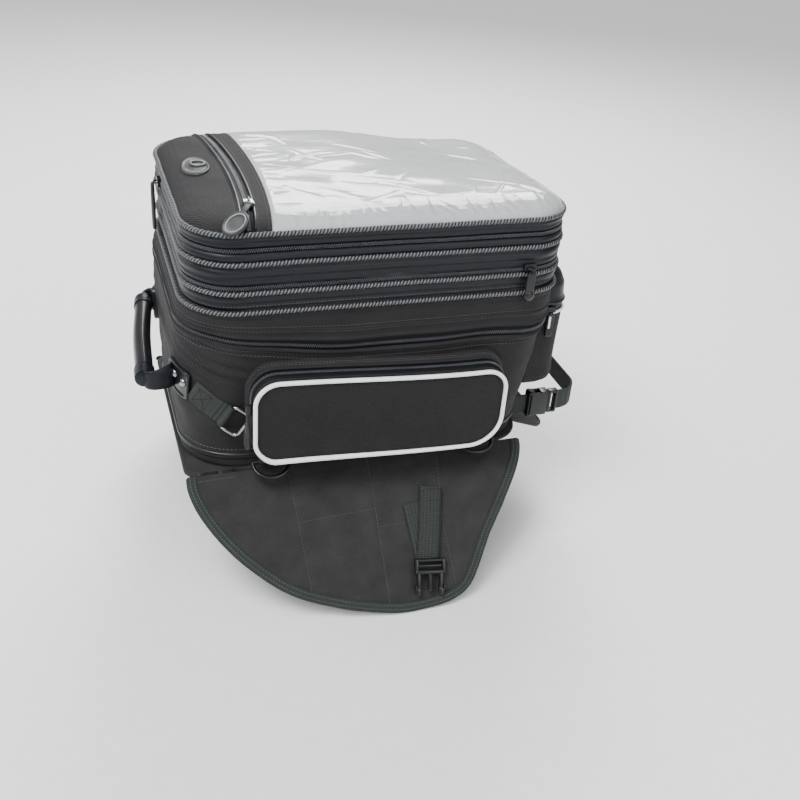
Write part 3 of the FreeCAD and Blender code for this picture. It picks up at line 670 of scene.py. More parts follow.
def folds(P, Z):
    """Soft waves of the cloth: low on the bands, fuller on the twill walls."""
    wall = ss(Z, 21, 48) * (1 - ss(Z, 168, 194))
    d = 1.5 * wall * noise3(P, 120, 3) + 0.8 * wall * noise3(P, 52, 4)
    s = SS[None] * np.ones_like(Z)
    env = gauss(s, -30, 42) * gauss(Z, 130, 26) * wall * ss(Z + 0.35 * s, 92, 108)
    d = d + 2.2 * env * np.sin(2 * math.pi * (Z + 0.50 * s + 4.0 * noise3(P, 90, 8)) / 16.5)
    env2 = gauss(s, 60, 70) * gauss(Z, 134, 12) * wall
    d = d + 0.8 * env2 * np.sin(2 * math.pi * (Z * 0.9 + 0.12 * s) / 11.0)
    low = gauss(s, -45, 40) * gauss(Z, 52, 26) * wall
    d = d + 1.3 * low * np.sin(2 * math.pi * (Z * 0.55 - 0.35 * s) / 21.0 + 1.0)
    band = ss(Z, 197, 204)
    d = d + band * (0.45 * noise3(P, 95, 5) + 0.22 * noise3(P, 34, 6))
    return d


UU = RU[None]


def ring_grid(G, Z, off, fold=True, flip=False):
    P = shell_pts(Z, off, fold)
    R = P.shape[0]
    dz = np.linalg.norm(np.diff(P[:, ::20], axis=0), axis=2).mean(1)
    W = np.concatenate([[0], np.cumsum(dz)])
    return G.grid(P, np.repeat(UU, R, 0), np.repeat(W[:, None], NC + 1, 1), closed=True, flip=flip)


def ring_line(Z, off, fold=True):
    Z = np.broadcast_to(np.asarray(Z, float), (NC,))
    return shell_pts(Z[None], off, fold)[0]


RN3 = np.concatenate([RN, np.zeros((NC, 1))], 1)


def profile(points, step=1.2):
    """Smooth rows through (height, offset) points."""
    p = np.array(points, float)
    q = smooth_line(np.c_[p, np.zeros(len(p))], step, rounds=1)
    return q[:, 0], q[:, 1]


def band_piece(name, points, mat, body, replaces, slot, thick=3.0, fold=True):
    """A cloth band: its outer profile from (height, offset) points, closed behind at thickness."""
    z, o = profile(points)
    lo, hi = z[0], z[-1]
    zi = np.array([hi, hi - 0.4, (hi + lo) / 2, lo + 0.4, lo])
    oi = np.array([o[-1] - thick * 0.6, -thick, -thick, -thick, o[0] - thick * 0.6])
    Z = np.concatenate([z, zi, z[:1]])
    O = np.concatenate([o, oi, o[:1]])
    G = Geo()
    ring_grid(G, Z, O, fold)
    return G.obj(name, mat, body, slot, replaces)


def rope_ring(name, z, off, body, replaces, r=2.35):
    G = Geo()
    P = ring_line(z, off)
    tube(G, P, r, 0.7, 12, True, (0, 0, 1), twist=7.0, lobes=2, depth=0.22)
    return G.obj(name, M_ROPE, body, "piping", replaces)


def zip_coil(name, Z, off, body, replaces=(), pitch=2.3, width=2.3, slot="zip", mat=None, mask=None):
    """Two rows of coil that meet in the middle, on a line of heights round the bag."""
    G = Geo()
    for dz, ph in ((0.9, 0.0), (-0.9, 1.15)):
        P = ring_line(np.asarray(Z, float) + dz, off)
        N = RN3
        if mask is not None:
            P, N = P[mask], N[mask]
        beads(G, P, N, pitch, width, 1.45, 1.5, closed=mask is None, across=True, phase=ph, sink=0.2)
    return G.obj(name, mat or M_COIL, body, slot, replaces)


def stitch_ring(G, Z, off, pitch=4.0, length=2.9, width=0.75, height=0.6, mask=None):
    P, N = ring_line(Z, off), RN3
    if mask is not None:
        P, N = P[mask], N[mask]
    return beads(G, P, N, pitch, length, width, height, closed=mask is None, sink=0.3)


# ------------------------------------------------------------------ main bag
RISE = 30.0 * (1 - ss(SS, -100, 120))


def zrow(z):
    """Rows of the main bag climb towards the rear corners with the slanted zip."""
    z = np.asarray(z, float)[:, None]
    k = np.where(z < 142, np.clip((z - 62) / 80, 0, 1) ** 1.5, np.clip((196 - z) / 54, 0, 1))
    return z + RISE[None] * k


def relief(z):
    """Raised lips beside the slanted zip and the seams above and below it."""
    r = 2.3 * gauss(z, 158.6, 2.0) + 2.3 * gauss(z, 142.0, 2.0)
    r = r - 1.1 * (ss(z, 143.5, 146) * (1 - ss(z, 154.5, 157)))
    r = r + 0.9 * gauss(z, 170.5, 1.6) - 0.7 * gauss(z, 172.8, 1.2) - 0.5 * gauss(z, 137.5, 1.6)
    r = r + 1.2 * gauss(z, 192.5, 2.2) - 0.7 * gauss(z, 188, 1.5)
    return r


zr = np.unique(np.concatenate([np.arange(20.3, 136, 2.6), np.arange(136, 175, 0.9), np.arange(175, 199.4, 1.6), [199.3]]))
foot = 1.3 * gauss(zr, 22.5, 2.0)
G = Geo()
Zw = zrow(zr)
rel = (relief(zr) + foot)[:, None] * np.ones((1, NC))
zi = np.array([199.0, 190.0, 160.0, 110.0, 60.0, 26.0, 21.0])
Zall = np.concatenate([Zw, zrow(zi)])
Off = np.concatenate([rel, np.full((len(zi), NC), -3.0)])
P = shell_pts(Zall, Off)
W = np.concatenate([[0], np.cumsum(np.linalg.norm(np.diff(P[:, 40], axis=0), axis=1))])
G.grid(P, np.repeat(UU, len(P), 0), np.repeat(W[:, None], NC + 1, 1), closed=True)
G.obj("bag_walls", M_TWILL, "bag", "twill", ["wall_right", "wall_left", "wall_rear", "wall_front"])

# lining on the inside of the walls
G = Geo()
zl = np.array([198.8, 186, 150, 110, 60, 24.0])
P = shell_pts(zrow(zl), np.full((len(zl), NC), -3.3))
G.grid(P, np.repeat(UU, len(P), 0), np.repeat(zl[:, None], NC + 1, 1), closed=True)
G.obj("bag_lining", M_LINING, "bag", "gusset")

# floor of the bag, quilted
xs, ys = np.meshgrid(np.linspace(-199, 177, 90), np.linspace(-1, 1, 60), indexing="ij")


def half_width(x, s, inset=0.0):
    xr, xf, w, rr, rf = s
    h = w / 2.0
    out = np.full_like(x, h)
    d = np.clip((xr + rr) - x, 0, rr)
    out = np.where(x < xr + rr, h - rr + np.sqrt(np.maximum(rr * rr - d * d, 0)), out)
    d = np.clip(x - (xf - rf), 0, rf)
    out = np.where(x > xf - rf, h - rf + np.sqrt(np.maximum(rf * rf - d * d, 0)), out)
    return out - inset


Y = ys * half_width(xs, (-204.5, 181.0, 251.0, 60.0, 45.0), 4.5)
Zf = 23.2 + 1.1 * np.abs(np.sin(math.pi * (xs + Y) / 60)) * np.abs(np.sin(math.pi * (xs - Y) / 60))
G = Geo()
G.grid(np.stack([xs, Y, Zf], -1), xs, Y, flip=True)
G.grid(np.stack([xs, Y, Zf * 0 + 20.4], -1), xs, Y)
G.obj("bag_floor_panel", M_LINING, "bag", "gusset", ["bag_floor"])

# slanted zip across the wall
mask = np.ones(NC, bool)
ZC = zrow(np.array([150.0]))[0]
G = Geo()
zt = np.array([144.6, 145.4, 148, 150, 152, 154.6, 155.4])
ot = np.array([-1.2, -0.25, -0.2, -0.15, -0.2, -0.25, -1.2])
P = shell_pts(zrow(zt), ot[:, None] * np.ones((1, NC)))
G.grid(P, np.repeat(UU, len(P), 0), np.repeat(zt[:, None], NC + 1, 1), closed=True)
G.obj("main_zip_tape", M_TAPE, "bag", "zip", ["main_zip"])
zip_coil("main_zip_coil", ZC, 0.25, "bag")
G = Geo()
for z in (168.4, 174.6, 138.8, 134.8):
    stitch_ring(G, zrow(np.array([z]))[0], relief(np.array([z]))[0] + 0.1)
G.obj("wall_stitches", M_THREAD, "bag", "twill")
G = Geo()
stitch_ring(G, zrow(np.array([27.5]))[0], 0.15, 4.4, 3.2, 0.8, 0.6)
G.obj("foot_stitches", M_THREADG, "bag", "twill")
rope_ring("rim_piping_rope", 196.8, 0.9, "bag", ["rim_piping"], 2.3)

# foot seam and base zip
G = Geo()
tube(G, ring_line(21.6, 0.9, False), 1.7, 1.6, 10, True)
G.obj("foot_seam", M_SEAM, "bag", "piping")
band_piece("base_zip_tape", [(14.5, -1.0), (14.8, -0.4), (16, -0.3), (18, -0.3), (19.6, -0.2), (20.6, -0.6)], M_TAPE, "bag", ["base_zip"], "zip", 2.4)
zip_coil("base_zip_coil", np.full(NC, 17.2), 0.0, "bag")

# ------------------------------------------------------------------ collars
band_piece("lower_band", [(200.2, -1.4), (201.2, -0.5), (203.0, 0.5), (205.0, 0.4), (206.2, -0.6), (207.6, 0.8), (211.2, 1.9), (214.6, 1.0),
                          (215.8, -0.6), (217.5, -0.2), (219.4, -0.2), (220.9, -1.0)], M_BAND, "lower", ["lower_collar"], "band")
rope_ring("lower_piping_rope", 217.9, 1.0, "lower", ["lower_piping"])
band_piece("expansion_zip_tape", [(221.1, -1.4), (221.6, -0.6), (223, -0.5), (225.4, -0.6), (225.9, -1.4)], M_TAPE, "lower", ["expansion_zip"], "zip", 2.0)
zip_coil("expansion_zip_coil", np.full(NC, 223.4), -0.2, "lower")
band_piece("upper_band", [(226.3, -1.2), (227.0, -0.3), (230.2, 0.5), (232.2, 0.1), (233.6, -0.7), (235.2, 0.8), (238.6, 2.0), (242.0, 1.0), (243.8, -0.9),
                          (246.5, -0.3), (250.2, -0.4), (251.6, 0.8), (254.8, 1.9), (258.0, 0.9), (259.4, -0.9)], M_BAND, "upper", ["upper_collar"], "band")
rope_ring("upper_piping_rope", 248.4, 1.0, "upper", ["upper_piping"])
band_piece("lid_zip_tape", [(259.7, -1.4), (260.2, -0.6), (262, -0.5), (264, -0.6), (264.4, -1.4)], M_TAPE, "upper", ["lid_zip"], "zip", 2.0)
zip_coil("lid_zip_coil", np.full(NC, 262.2), -0.15, "upper")
band_piece("lid_band", [(264.8, -1.3), (265.4, -0.5), (267.8, 0.3), (269.4, -0.2), (270.2, -0.6), (271.2, 0.7), (273.6, 1.6), (276.0, 0.8), (276.9, -0.6)],
           M_BAND, "lid", ["lid_rim"], "band")
rope_ring("lid_piping_rope", 278.2, 0.3, "lid", ["lid_piping"], 2.5)
G = Geo()
for z, o in ((204.1, 0.5), (231.4, 0.4)):
    stitch_ring(G, np.full(NC, z), o, 3.6, 2.6, 0.7, 0.55)
lowst = Geo()
stitch_ring(lowst, np.full(NC, 204.1), 0.5, 3.6, 2.6, 0.7, 0.55)
lowst.obj("lower_stitches", M_THREAD, "lower", "band")
upst = Geo()
stitch_ring(upst, np.full(NC, 231.2), 0.45, 3.6, 2.6, 0.65, 0.5)
upst.obj("upper_stitches", M_THREADD, "upper", "band")

# folded sleeves inside the collars, seen when they are drawn out
INNER = (-197.0, 195.0, 274.0, 58.0, 44.0)


def sleeve(name, z_top, off, body, node):
    P2, N2 = outline(INNER)
    z = np.arange(z_top - 46.0, z_top + 0.1, 1.6)
    o = -off - 0.5 + 0.5 * np.sin(2 * math.pi * z / 9.0)
    Zs = np.concatenate([z, [z_top - 0.3, z_top - 3.0, z_top - 45.0, z_top - 46.0]])
    Os = np.concatenate([o, [2.5, 2.5, -off - 1.8, -off - 1.8]])
    P = np.concatenate([P2[None] + N2[None] * Os[:, None, None], np.broadcast_to(Zs[:, None, None], (len(Zs), NC, 1))], -1)
    G = Geo()
    G.grid(P, np.repeat(UU, len(Zs), 0), np.repeat(Zs[:, None], NC + 1, 1), closed=True)
    G.obj(name, M_LINING, body, "gusset", [node])


sleeve("lower_sleeve", 206.0, 1.6, "lower", "lower_gusset")
sleeve("upper_sleeve", 231.6, 5.0, "upper", "upper_gusset")

# ------------------------------------------------------------------ lid
XR, XF = TOP[0], TOP[1]


def inset_of(x, y):
    """Distance inwards from the lid's outline."""
    h = TOP[2] / 2
    ay = np.abs(y)
    rr, rf = TOP[3], TOP[4]
    d = np.minimum(np.minimum(x - XR, XF - x), h - ay)
    qx, qy = (XR + rr) - x, ay - (h - rr)
    d = np.where((qx > 0) & (qy > 0), rr - np.hypot(qx, qy), d)
    qx, qy = x - (XF - rf), ay - (h - rf)
    return np.where((qx > 0) & (qy > 0), rf - np.hypot(qx, qy), d)


DI = np.array([-1, 0, 1.5, 4, 8, 13, 20, 28, 38, 60, 100, 150])
DZ = np.array([276.8, 277.6, 279.3, 281.9, 284.6, 287.0, 289.1, 290.3, 291.1, 291.8, 292.3, 292.4])


def lid_z(x, y):
    return np.interp(inset_of(x, y), DI, DZ)


def zip_x(y):
    return -132.6 - 0.00060 * (y + 20.0) ** 2


def win_x(y):
    return -109.6 - 0.00052 * (y + 5.0) ** 2


def plan_piece(G, x0, x1, inset, nx, ny, zfun, flip=False, y0=-1.0, y1=1.0, skirt=0.0):
    """Part of the lid between two lines x0(y) and x1(y), out to the outline less inset."""
    t = np.linspace(0, 1, nx)[:, None]
    k = np.sin(np.linspace(-1, 1, ny) * math.pi / 2)[None] * 0.35 + np.linspace(-1, 1, ny)[None] * 0.65
    Y = k * (TOP[2] / 2) * np.ones_like(t)
    for _ in range(4):
        X = x0(Y) * (1 - t) + x1(Y) * t
        Y = k * half_width(X, TOP, inset)
    Z = zfun(X, Y)
    G.grid(np.stack([X, Y, Z], -1), X, Y, flip=flip)
    return X, Y, Z


def const(v):
    return lambda y: np.full_like(y, v)


def lid_wave(X, Y):
    P = np.stack([X, Y, np.zeros_like(X)], -1)
    return 0.5 * noise3(P, 90, 11) + 0.25 * noise3(P, 40, 12)


# rear panel
G = Geo()
EDGE = lambda X, Y: ss(inset_of(X, Y), 0, 10)
z_rear = lambda X, Y: lid_z(X, Y) + lid_wave(X, Y) * EDGE(X, Y) * 1.6 - 1.0 * gauss(X, zip_x(Y) - 11.0, 2.0) + 0.9 * gauss(X, zip_x(Y) - 7.5, 2.0)
plan_piece(G, const(XR + 1.2), lambda y: zip_x(y) - 6.0, 1.0, 60, 150, z_rear, flip=True)
G.obj("lid_rear_cloth", M_LIDREAR, "lid", "twill", ["lid_rear_panel"])
# map zip
G = Geo()
z_zip = lambda X, Y: lid_z(X, Y) - 0.9
plan_piece(G, lambda y: zip_x(y) - 7.0, lambda y: zip_x(y) + 7.0, 1.0, 8, 120, z_zip, flip=True)
G.obj("map_zip_tape", M_TAPE, "lid", "zip", ["map_zip"])
yy = np.linspace(-136, 136, 240)
G = Geo()
for dx, ph in ((-0.9, 0.0), (0.9, 0.9)):
    L = np.stack([zip_x(yy) + dx, yy, lid_z(zip_x(yy), yy) - 0.5], 1)
    beads(G, L, (0, 0, 1), 1.8, 2.6, 1.4, 1.2, across=True, phase=ph)
G.obj("map_zip_coil", M_COIL, "lid", "zip")
G = Geo()
for dx, w in ((-7.0, 1.5), (7.0, 1.5)):
    L = np.stack([zip_x(yy) + dx, yy, lid_z(zip_x(yy) + dx, yy) + 0.1], 1)
    tube(G, L, w, 2.0, 10, up=(0, 0, 1))
G.obj("map_zip_lips", M_SEAM, "lid", "zip")
# binding between the zip and the window
G = Geo()
z_b = lambda X, Y: lid_z(X, Y) + 1.0 + 0.5 * gauss(X, win_x(Y) - 1.0, 2.0)
plan_piece(G, lambda y: zip_x(y) + 7.0, lambda y: win_x(y), 0.6, 12, 130, z_b, flip=True)
G.obj("window_binding", M_LIDREAR, "lid", "twill")
G = Geo()
for dx in (-3.0, -13.0):
    L = np.stack([win_x(yy) + dx, yy, lid_z(win_x(yy) + dx, yy) + 1.15], 1)
    beads(G, L, (0, 0, 1), 3.8, 2.8, 0.7, 0.6)
L = np.stack([zip_x(yy) - 11.5, yy, lid_z(zip_x(yy) - 11.5, yy) - 0.1], 1)
beads(G, L, (0, 0, 1), 3.8, 2.8, 0.7, 0.6)
G.obj("lid_stitches", M_THREAD, "lid", "twill")

# pale lining under the film, and the padded underside of the lid
G = Geo()


def lining_z(X, Y):
    P = np.stack([X, Y, np.zeros_like(X)], -1)
    return lid_z(X, Y) - 3.4 + 0.5 * noise3(P, 70, 21)


plan_piece(G, lambda y: win_x(y) - 3.0, const(XF - 2.4), 2.2, 70, 90, lining_z, flip=True)
lining = G.obj("map_lining", M_WHITE, "lid", "lid_foam")
G = Geo()


def under_z(X, Y):
    e = ss(inset_of(X, Y), 3, 16)
    q = np.abs(np.sin(math.pi * (X + Y) / 70)) * np.abs(np.sin(math.pi * (X - Y) / 70))
    return 274.0 - e * (3.4 + 1.4 * q)


plan_piece(G, const(XR + 3.2), const(XF - 3.2), 3.2, 90, 80, under_z)
under = G.obj("lid_underside", M_LINING, "lid", "gusset", ["lid_panel"])


# clear film: held flat at its border and crumpled by a list of random creases
rng = np.random.RandomState(17)
CREASES = []
for x in np.arange(-98, 186, 11.5):
    CREASES.append((x + rng.uniform(-3, 3), -137.0 + rng.uniform(-1, 4), math.radians(90 + rng.uniform(-26, 26)), rng.uniform(16, 40), rng.uniform(1.8, 3.4), rng.uniform(1.0, 2.4)))
for y in np.arange(-118, 120, 15.0):
    CREASES.append((win_x(y) + 4.0, y + rng.uniform(-4, 4), math.radians(rng.uniform(-28, 28)), rng.uniform(16, 34), rng.uniform(1.8, 3.0), rng.uniform(0.6, 1.4)))
for k in range(58):
    CREASES.append((rng.uniform(-95, 185), rng.uniform(-118, 125), math.radians(rng.choice([20, 62, 118, 150]) + rng.uniform(-16, 16)), rng.uniform(28, 90), rng.uniform(1.6, 3.8), rng.uniform(0.5, 1.7) * rng.choice([1, 1, -0.8])))


def film_z(X, Y):
    P = np.stack([X, Y, np.zeros_like(X)], -1)
    e = inset_of(X, Y)
    e = np.minimum(e, np.maximum(X - win_x(Y), 0) + 1.0)
    h = 0.9 + 0.8 * noise3(P, 130, 31) + 0.35 * noise3(P, 48, 32)
    bend = 6.0 * noise3(P, 70, 35)
    for cx, cy, ang, ln, wd, amp in CREASES:
        dx, dy = X - cx, Y - cy
        along = (dx * math.cos(ang) + dy * math.sin(ang)) / ln
        across = -dx * math.sin(ang) + dy * math.cos(ang) + bend * 0.6 * along
        k = np.clip(1 - np.abs(along * 2 - 1), 0, 1) ** 0.7
        h = h + amp * k * (np.exp(-np.abs(across) / wd) - 0.35 * np.exp(-(across / (wd * 3.2)) ** 2))
    return lid_z(X, Y) + 0.5 + ss(e, 0.2, 6) * np.clip(h, -1.6, 5.0)


G = Geo()
plan_piece(G, lambda y: win_x(y) - 1.5, const(XF - 0.6), 0.5, 260, 240, film_z, flip=True)
window = G.obj("map_film", M_FILM, "lid", "clear", ["map_window"])

# headphone port
G = Geo()
c0 = np.array([-168.5, 11.0])
a = np.linspace(0, 2 * math.pi, 72, endpoint=False)
rows = []
for k, h in ((1.0, 0.0), (0.99, 1.4), (0.93, 1.9), (0.86, 1.5), (0.8, 1.1), (0.55, 1.2), (0.3, 1.3), (0.001, 1.3)):
    X, Y = c0[0] + 14.5 * k * np.cos(a), c0[1] + 25.0 * k * np.sin(a)
    rows.append(np.stack([X, Y, lid_z(X, Y) + lid_wave(X, Y) * 1.4 + h + 0.3], -1))
P = np.stack(rows)
G.grid(P, np.repeat(np.append(a, a[0] + 2 * math.pi)[None] * 20, len(P), 0), np.zeros((len(P), 73)), closed=True)
c1 = np.array([-165.5, 14.0])
zc = float(lid_z(np.array(c1[0]), np.array(c1[1])))
rows = [np.stack([c1[0] + r * np.cos(a), c1[1] + r * np.sin(a), np.full_like(a, zc + h)], -1)
        for r, h in ((8.8, 1.2), (8.7, 3.2), (7.9, 4.0), (6.6, 4.0), (6.0, 3.2), (5.8, 1.8), (0.01, 1.8))]
P = np.stack(rows)
G.grid(P, np.zeros((len(P), 73)), np.zeros((len(P), 73)), closed=True)
G.obj("headphone_patch", M_RUBBER, "lid", "rubber", ["headphone_port"])
G = Geo()
tube(G, np.stack([c1[0] + 7.2 * np.cos(a), c1[1] + 7.2 * np.sin(a), np.full_like(a, zc + 4.0)], 1), 0.7, 1.2, 8, True)
for ang in (205, 228, 251, 274, 297, 320):
    t = math.radians(ang)
    q = np.array([c0[0] + 10.4 * math.cos(t), c0[1] + 17.5 * math.sin(t)])
    n = np.array([math.cos(t), math.sin(t), 0])
    R = np.stack([n, np.cross([0, 0, 1], n), [0, 0, 1]], 1)
    rbox(G, (1.4, 3.6, 1.2), (q[0], q[1], float(lid_z(q[0], q[1])) + 1.9), R, 0.5, 2)
G.obj("headphone_marks", M_RUBBERL, "lid", "rubber")
G = Geo()
dome_head(G, np.array([c1[0], c1[1], zc + 1.7]), np.array([0, 0, 1.0]), 5.0, 0.5, 24)
G.obj("headphone_plug", M_PLASTIC, "lid", "rubber")


# ------------------------------------------------------------------ side pockets
def rrect(x0, x1, z0, z1, radii, inset=0.0, n=(70, 16)):
    """Rounded outline in X and Z; radii bottom-left, bottom-right, top-right, top-left."""
    x0, x1, z0, z1 = x0 + inset, x1 - inset, z0 + inset, z1 - inset
    r = [max(k - inset, 2.0) for k in radii]
    pts = []
    corners = [((x0 + r[0], z0 + r[0]), r[0], 180), ((x1 - r[1], z0 + r[1]), r[1], 270),
               ((x1 - r[2], z1 - r[2]), r[2], 0), ((x0 + r[3], z1 - r[3]), r[3], 90)]
    counts = (n[0], n[0] // 3, n[0], n[0] // 3)
    for k in range(4):
        c, rad, a0 = corners[k]
        for t in np.arange(n[1]) / n[1]:
            w = math.radians(a0 + 90 * t)
            pts.append((c[0] + rad * math.cos(w), c[1] + rad * math.sin(w)))
        e = pts_end = (c[0] + rad * math.cos(math.radians(a0 + 90)), c[1] + rad * math.sin(math.radians(a0 + 90)))
        c2, rad2, a2 = corners[(k + 1) % 4]
        f = (c2[0] + rad2 * math.cos(math.radians(a2)), c2[1] + rad2 * math.sin(math.radians(a2)))
        for t in np.arange(counts[k]) / counts[k]:
            pts.append((e[0] + (f[0] - e[0]) * t, e[1] + (f[1] - e[1]) * t))
    return np.array(pts)


PK = (-142.0, 131.0, 29.0, 123.0)
R1 = (24.0, 36.0, 24.0, 26.0)
R0 = (26.0, 38.0, 26.0, 28.0)


def pocket_out(t, inset=0.0):
    """Outline of the pocket at share t from the wall (0) to its face (1)."""
    a = rrect(PK[0] - 3, PK[1] + 9, PK[2] - 4, PK[3] + 10, R0, inset)
    b = rrect(*PK, R1, inset)
    return a * (1 - t) + b * t


def wall_y(z):
    """The side wall just under its surface."""
    return -np.interp(z + 8.0, [20, 60, 110, 150], [125.5, 130.0, 135.0, 138.5]) + 1.2


def loop_u(P2):
    d = np.linalg.norm(np.roll(P2, -1, 0) - P2, axis=1)
    return np.concatenate([[0], np.cumsum(d)])


def pocket_side():
    """Gusset, panel and trim of the right pocket, as separate pieces."""
    out = {}
    base_y = -124.0
    rows, uu = [], None
    ts = np.concatenate([np.linspace(0, 0.62, 14), np.linspace(0.64, 0.97, 14), [1.0]])
    o1 = pocket_out(1.0)
    U = loop_u(o1)
    n = len(o1)
    top = ss(o1[:, 1], 60, 92)
    for t in ts:
        o = pocket_out(t)
        y = np.minimum(-118.0 - 48.0 * t, wall_y(o[:, 1]))
        lift = (0.9 * gauss(t, 0.60, 0.03) - 0.9 * ss(t, 0.64, 0.68) * (1 - ss(t, 0.92, 0.96))) * top + 0.9 * math.sin(math.pi * t) ** 2
        c = np.array([(PK[0] + PK[1]) / 2, (PK[2] + PK[3]) / 2])
        nrm = unit(np.stack([np.roll(o, -1, 0)[:, 1] - np.roll(o, 1, 0)[:, 1], -(np.roll(o, -1, 0)[:, 0] - np.roll(o, 1, 0)[:, 0])], 1))
        nrm = nrm * np.sign(((o - c) * nrm).sum(1, keepdims=True).mean())
        P = np.concatenate([(o + nrm * lift[:, None])[:, :1], y[:, None], (o + nrm * lift[:, None])[:, 1:]], 1)
        w = noise3(P, 60, 41) * 0.8 * math.sin(math.pi * min(t, 1) * 0.98)
        P[:, 0] += nrm[:, 0] * w
        P[:, 2] += nrm[:, 1] * w
        rows.append(P)
    # inside face
    for t, ins in ((0.99, 2.6), (0.5, 2.6), (0.3, 2.6)):
        o = pocket_out(t, ins)
        rows.append(np.stack([o[:, 0], np.minimum(-118.0 - 48.0 * t, wall_y(o[:, 1])), o[:, 1]], 1))
    P = np.stack(rows)
    W = np.concatenate([ts * 48, [50, 75, 85]])
    G = Geo()
    G.grid(P, np.repeat(U[None], len(P), 0), np.repeat(W[:, None], n + 1, 1), closed=True)
    out["gusset"] = G
    # zip tape and coil round the top
    sel = np.where(o1[:, 1] > 84)[0]
    k = np.where(np.diff(sel) > 1)[0]
    if len(k):
        sel = np.concatenate([sel[k[0] + 1:], sel[:k[0] + 1]])

    def on(t, lift):
        o = pocket_out(t)
        nrm = unit(np.stack([np.roll(o, -1, 0)[:, 1] - np.roll(o, 1, 0)[:, 1], -(np.roll(o, -1, 0)[:, 0] - np.roll(o, 1, 0)[:, 0])], 1))
        c = np.array([(PK[0] + PK[1]) / 2, (PK[2] + PK[3]) / 2])
        nrm = nrm * np.sign(((o - c) * nrm).sum(1, keepdims=True).mean())
        q = o + nrm * lift
        return (np.stack([q[:, 0], np.full(n, -118.0 - 48.0 * t), q[:, 1]], 1), np.stack([nrm[:, 0], np.zeros(n), nrm[:, 1]], 1))

    G = Geo()
    tt = (0.665, 0.68, 0.75, 0.80, 0.85, 0.915, 0.93)
    ll = (-0.6, 0.45, 0.5, 0.5, 0.5, 0.45, -0.6)
    P = np.stack([on(t, l)[0][sel] for t, l in zip(tt, ll)])
    G.grid(P, np.repeat(U[None, :-1][:, sel], len(P), 0), np.repeat(np.array(tt)[:, None] * 48, len(sel), 1))
    out["tape"] = G
    G = Geo()
    for t, ph in ((0.785, 0.0), (0.82, 0.85)):
        L, N = on(t, 0.75)
        beads(G, L[sel], N[sel], 1.7, 2.3, 1.3, 1.2, across=True, phase=ph)
    out["coil"] = G
    G = Geo()
    for t in (0.52, 0.575):
        L, N = on(t, 1.35)
        L = L + N * 0.0
        beads(G, L[sel], N[sel], 3.6, 2.7, 0.7, 0.6)
    out["stitch"] = G
    # panel
    G = Geo()
    rows, ins = [], []
    spec = [(0.0, -166.5), (0.4, -168.6), (1.4, -170.2), (3.0, -171.0)]
    for i, y in spec:
        o = rrect(*PK, R1, i)
        rows.append(np.stack([o[:, 0], np.full(n, y), o[:, 1]], 1))
    o3 = rrect(*PK, R1, 3.0)
    mid = np.stack([np.clip(o3[:, 0], -92, 84), np.full(n, 76.0)], 1)
    for k in np.concatenate([np.linspace(0.03, 0.5, 13), np.linspace(0.56, 1.0, 9)]):
        q = o3 * (1 - k) + mid * k
        bul = 2.1 * (1 - (1 - min(k * 1.6, 1)) ** 2)
        Pk = np.stack([q[:, 0], np.full(n, 0.0), q[:, 1]], 1)
        Pk[:, 1] = -170.6 - bul - (0.5 * noise3(Pk, 80, 51) + 0.25 * noise3(Pk, 35, 52)) * min(k * 3, 1)
        rows.append(Pk)
    P = np.stack(rows)
    UVx = np.concatenate([P[..., 0], P[:, :1, 0]], 1)
    UVz = np.concatenate([P[..., 2], P[:, :1, 2]], 1)
    G.grid(P, UVx, UVz, closed=True)
    back = np.stack([np.stack([q[:, 0], np.full(n, y), q[:, 1]], 1) for q, y in
                     ((rrect(*PK, R1, 0.0), -166.5), (rrect(*PK, R1, 6.0), -167.0), (mid, -167.2))])
    G.grid(back, np.concatenate([back[..., 0], back[:, :1, 0]], 1), np.concatenate([back[..., 2], back[:, :1, 2]], 1), closed=True, flip=True)
    out["panel"] = G
    G = Geo()
    o = rrect(*PK, R1, 1.0)
    L = np.stack([o[:, 0], np.full(n, -171.2), o[:, 1]], 1)
    tube(G, L, 2.35, 1.6, 12, True, (0, 1, 0))
    out["white"] = G
    G = Geo()
    o = rrect(*PK, R1, 5.0)
    L = np.stack([o[:, 0], np.full(n, -171.9), o[:, 1]], 1)
    beads(G, L, (0, -1, 0), 3.8, 2.8, 0.6, 0.5, closed=True)
    out["pstitch"] = G
    # slider with its ribbed rubber tongue
    G = Geo()
    rbox(G, (6.4, 4.6, 12.0), (-146.4, -163.6, 90.0), None, 1.6)
    rbox(G, (3.0, 3.0, 14.0), (-147.6, -164.6, 80.0), None, 1.2)
    out["slider"] = G
    G = Geo()
    rbox(G, (4.2, 9.6, 29.5), (-147.9, -163.4, 67.5), None, 1.6)
    rbox(G, (3.6, 6.2, 7.0), (-147.6, -163.4, 81.2), None, 1.2)
    for k in range(6):
        rbox(G, (5.4, 10.2, 1.6), (-148.1, -163.4, 56.5 + k * 3.0), None, 0.6, 2)
    out["tongue"] = G
    return out


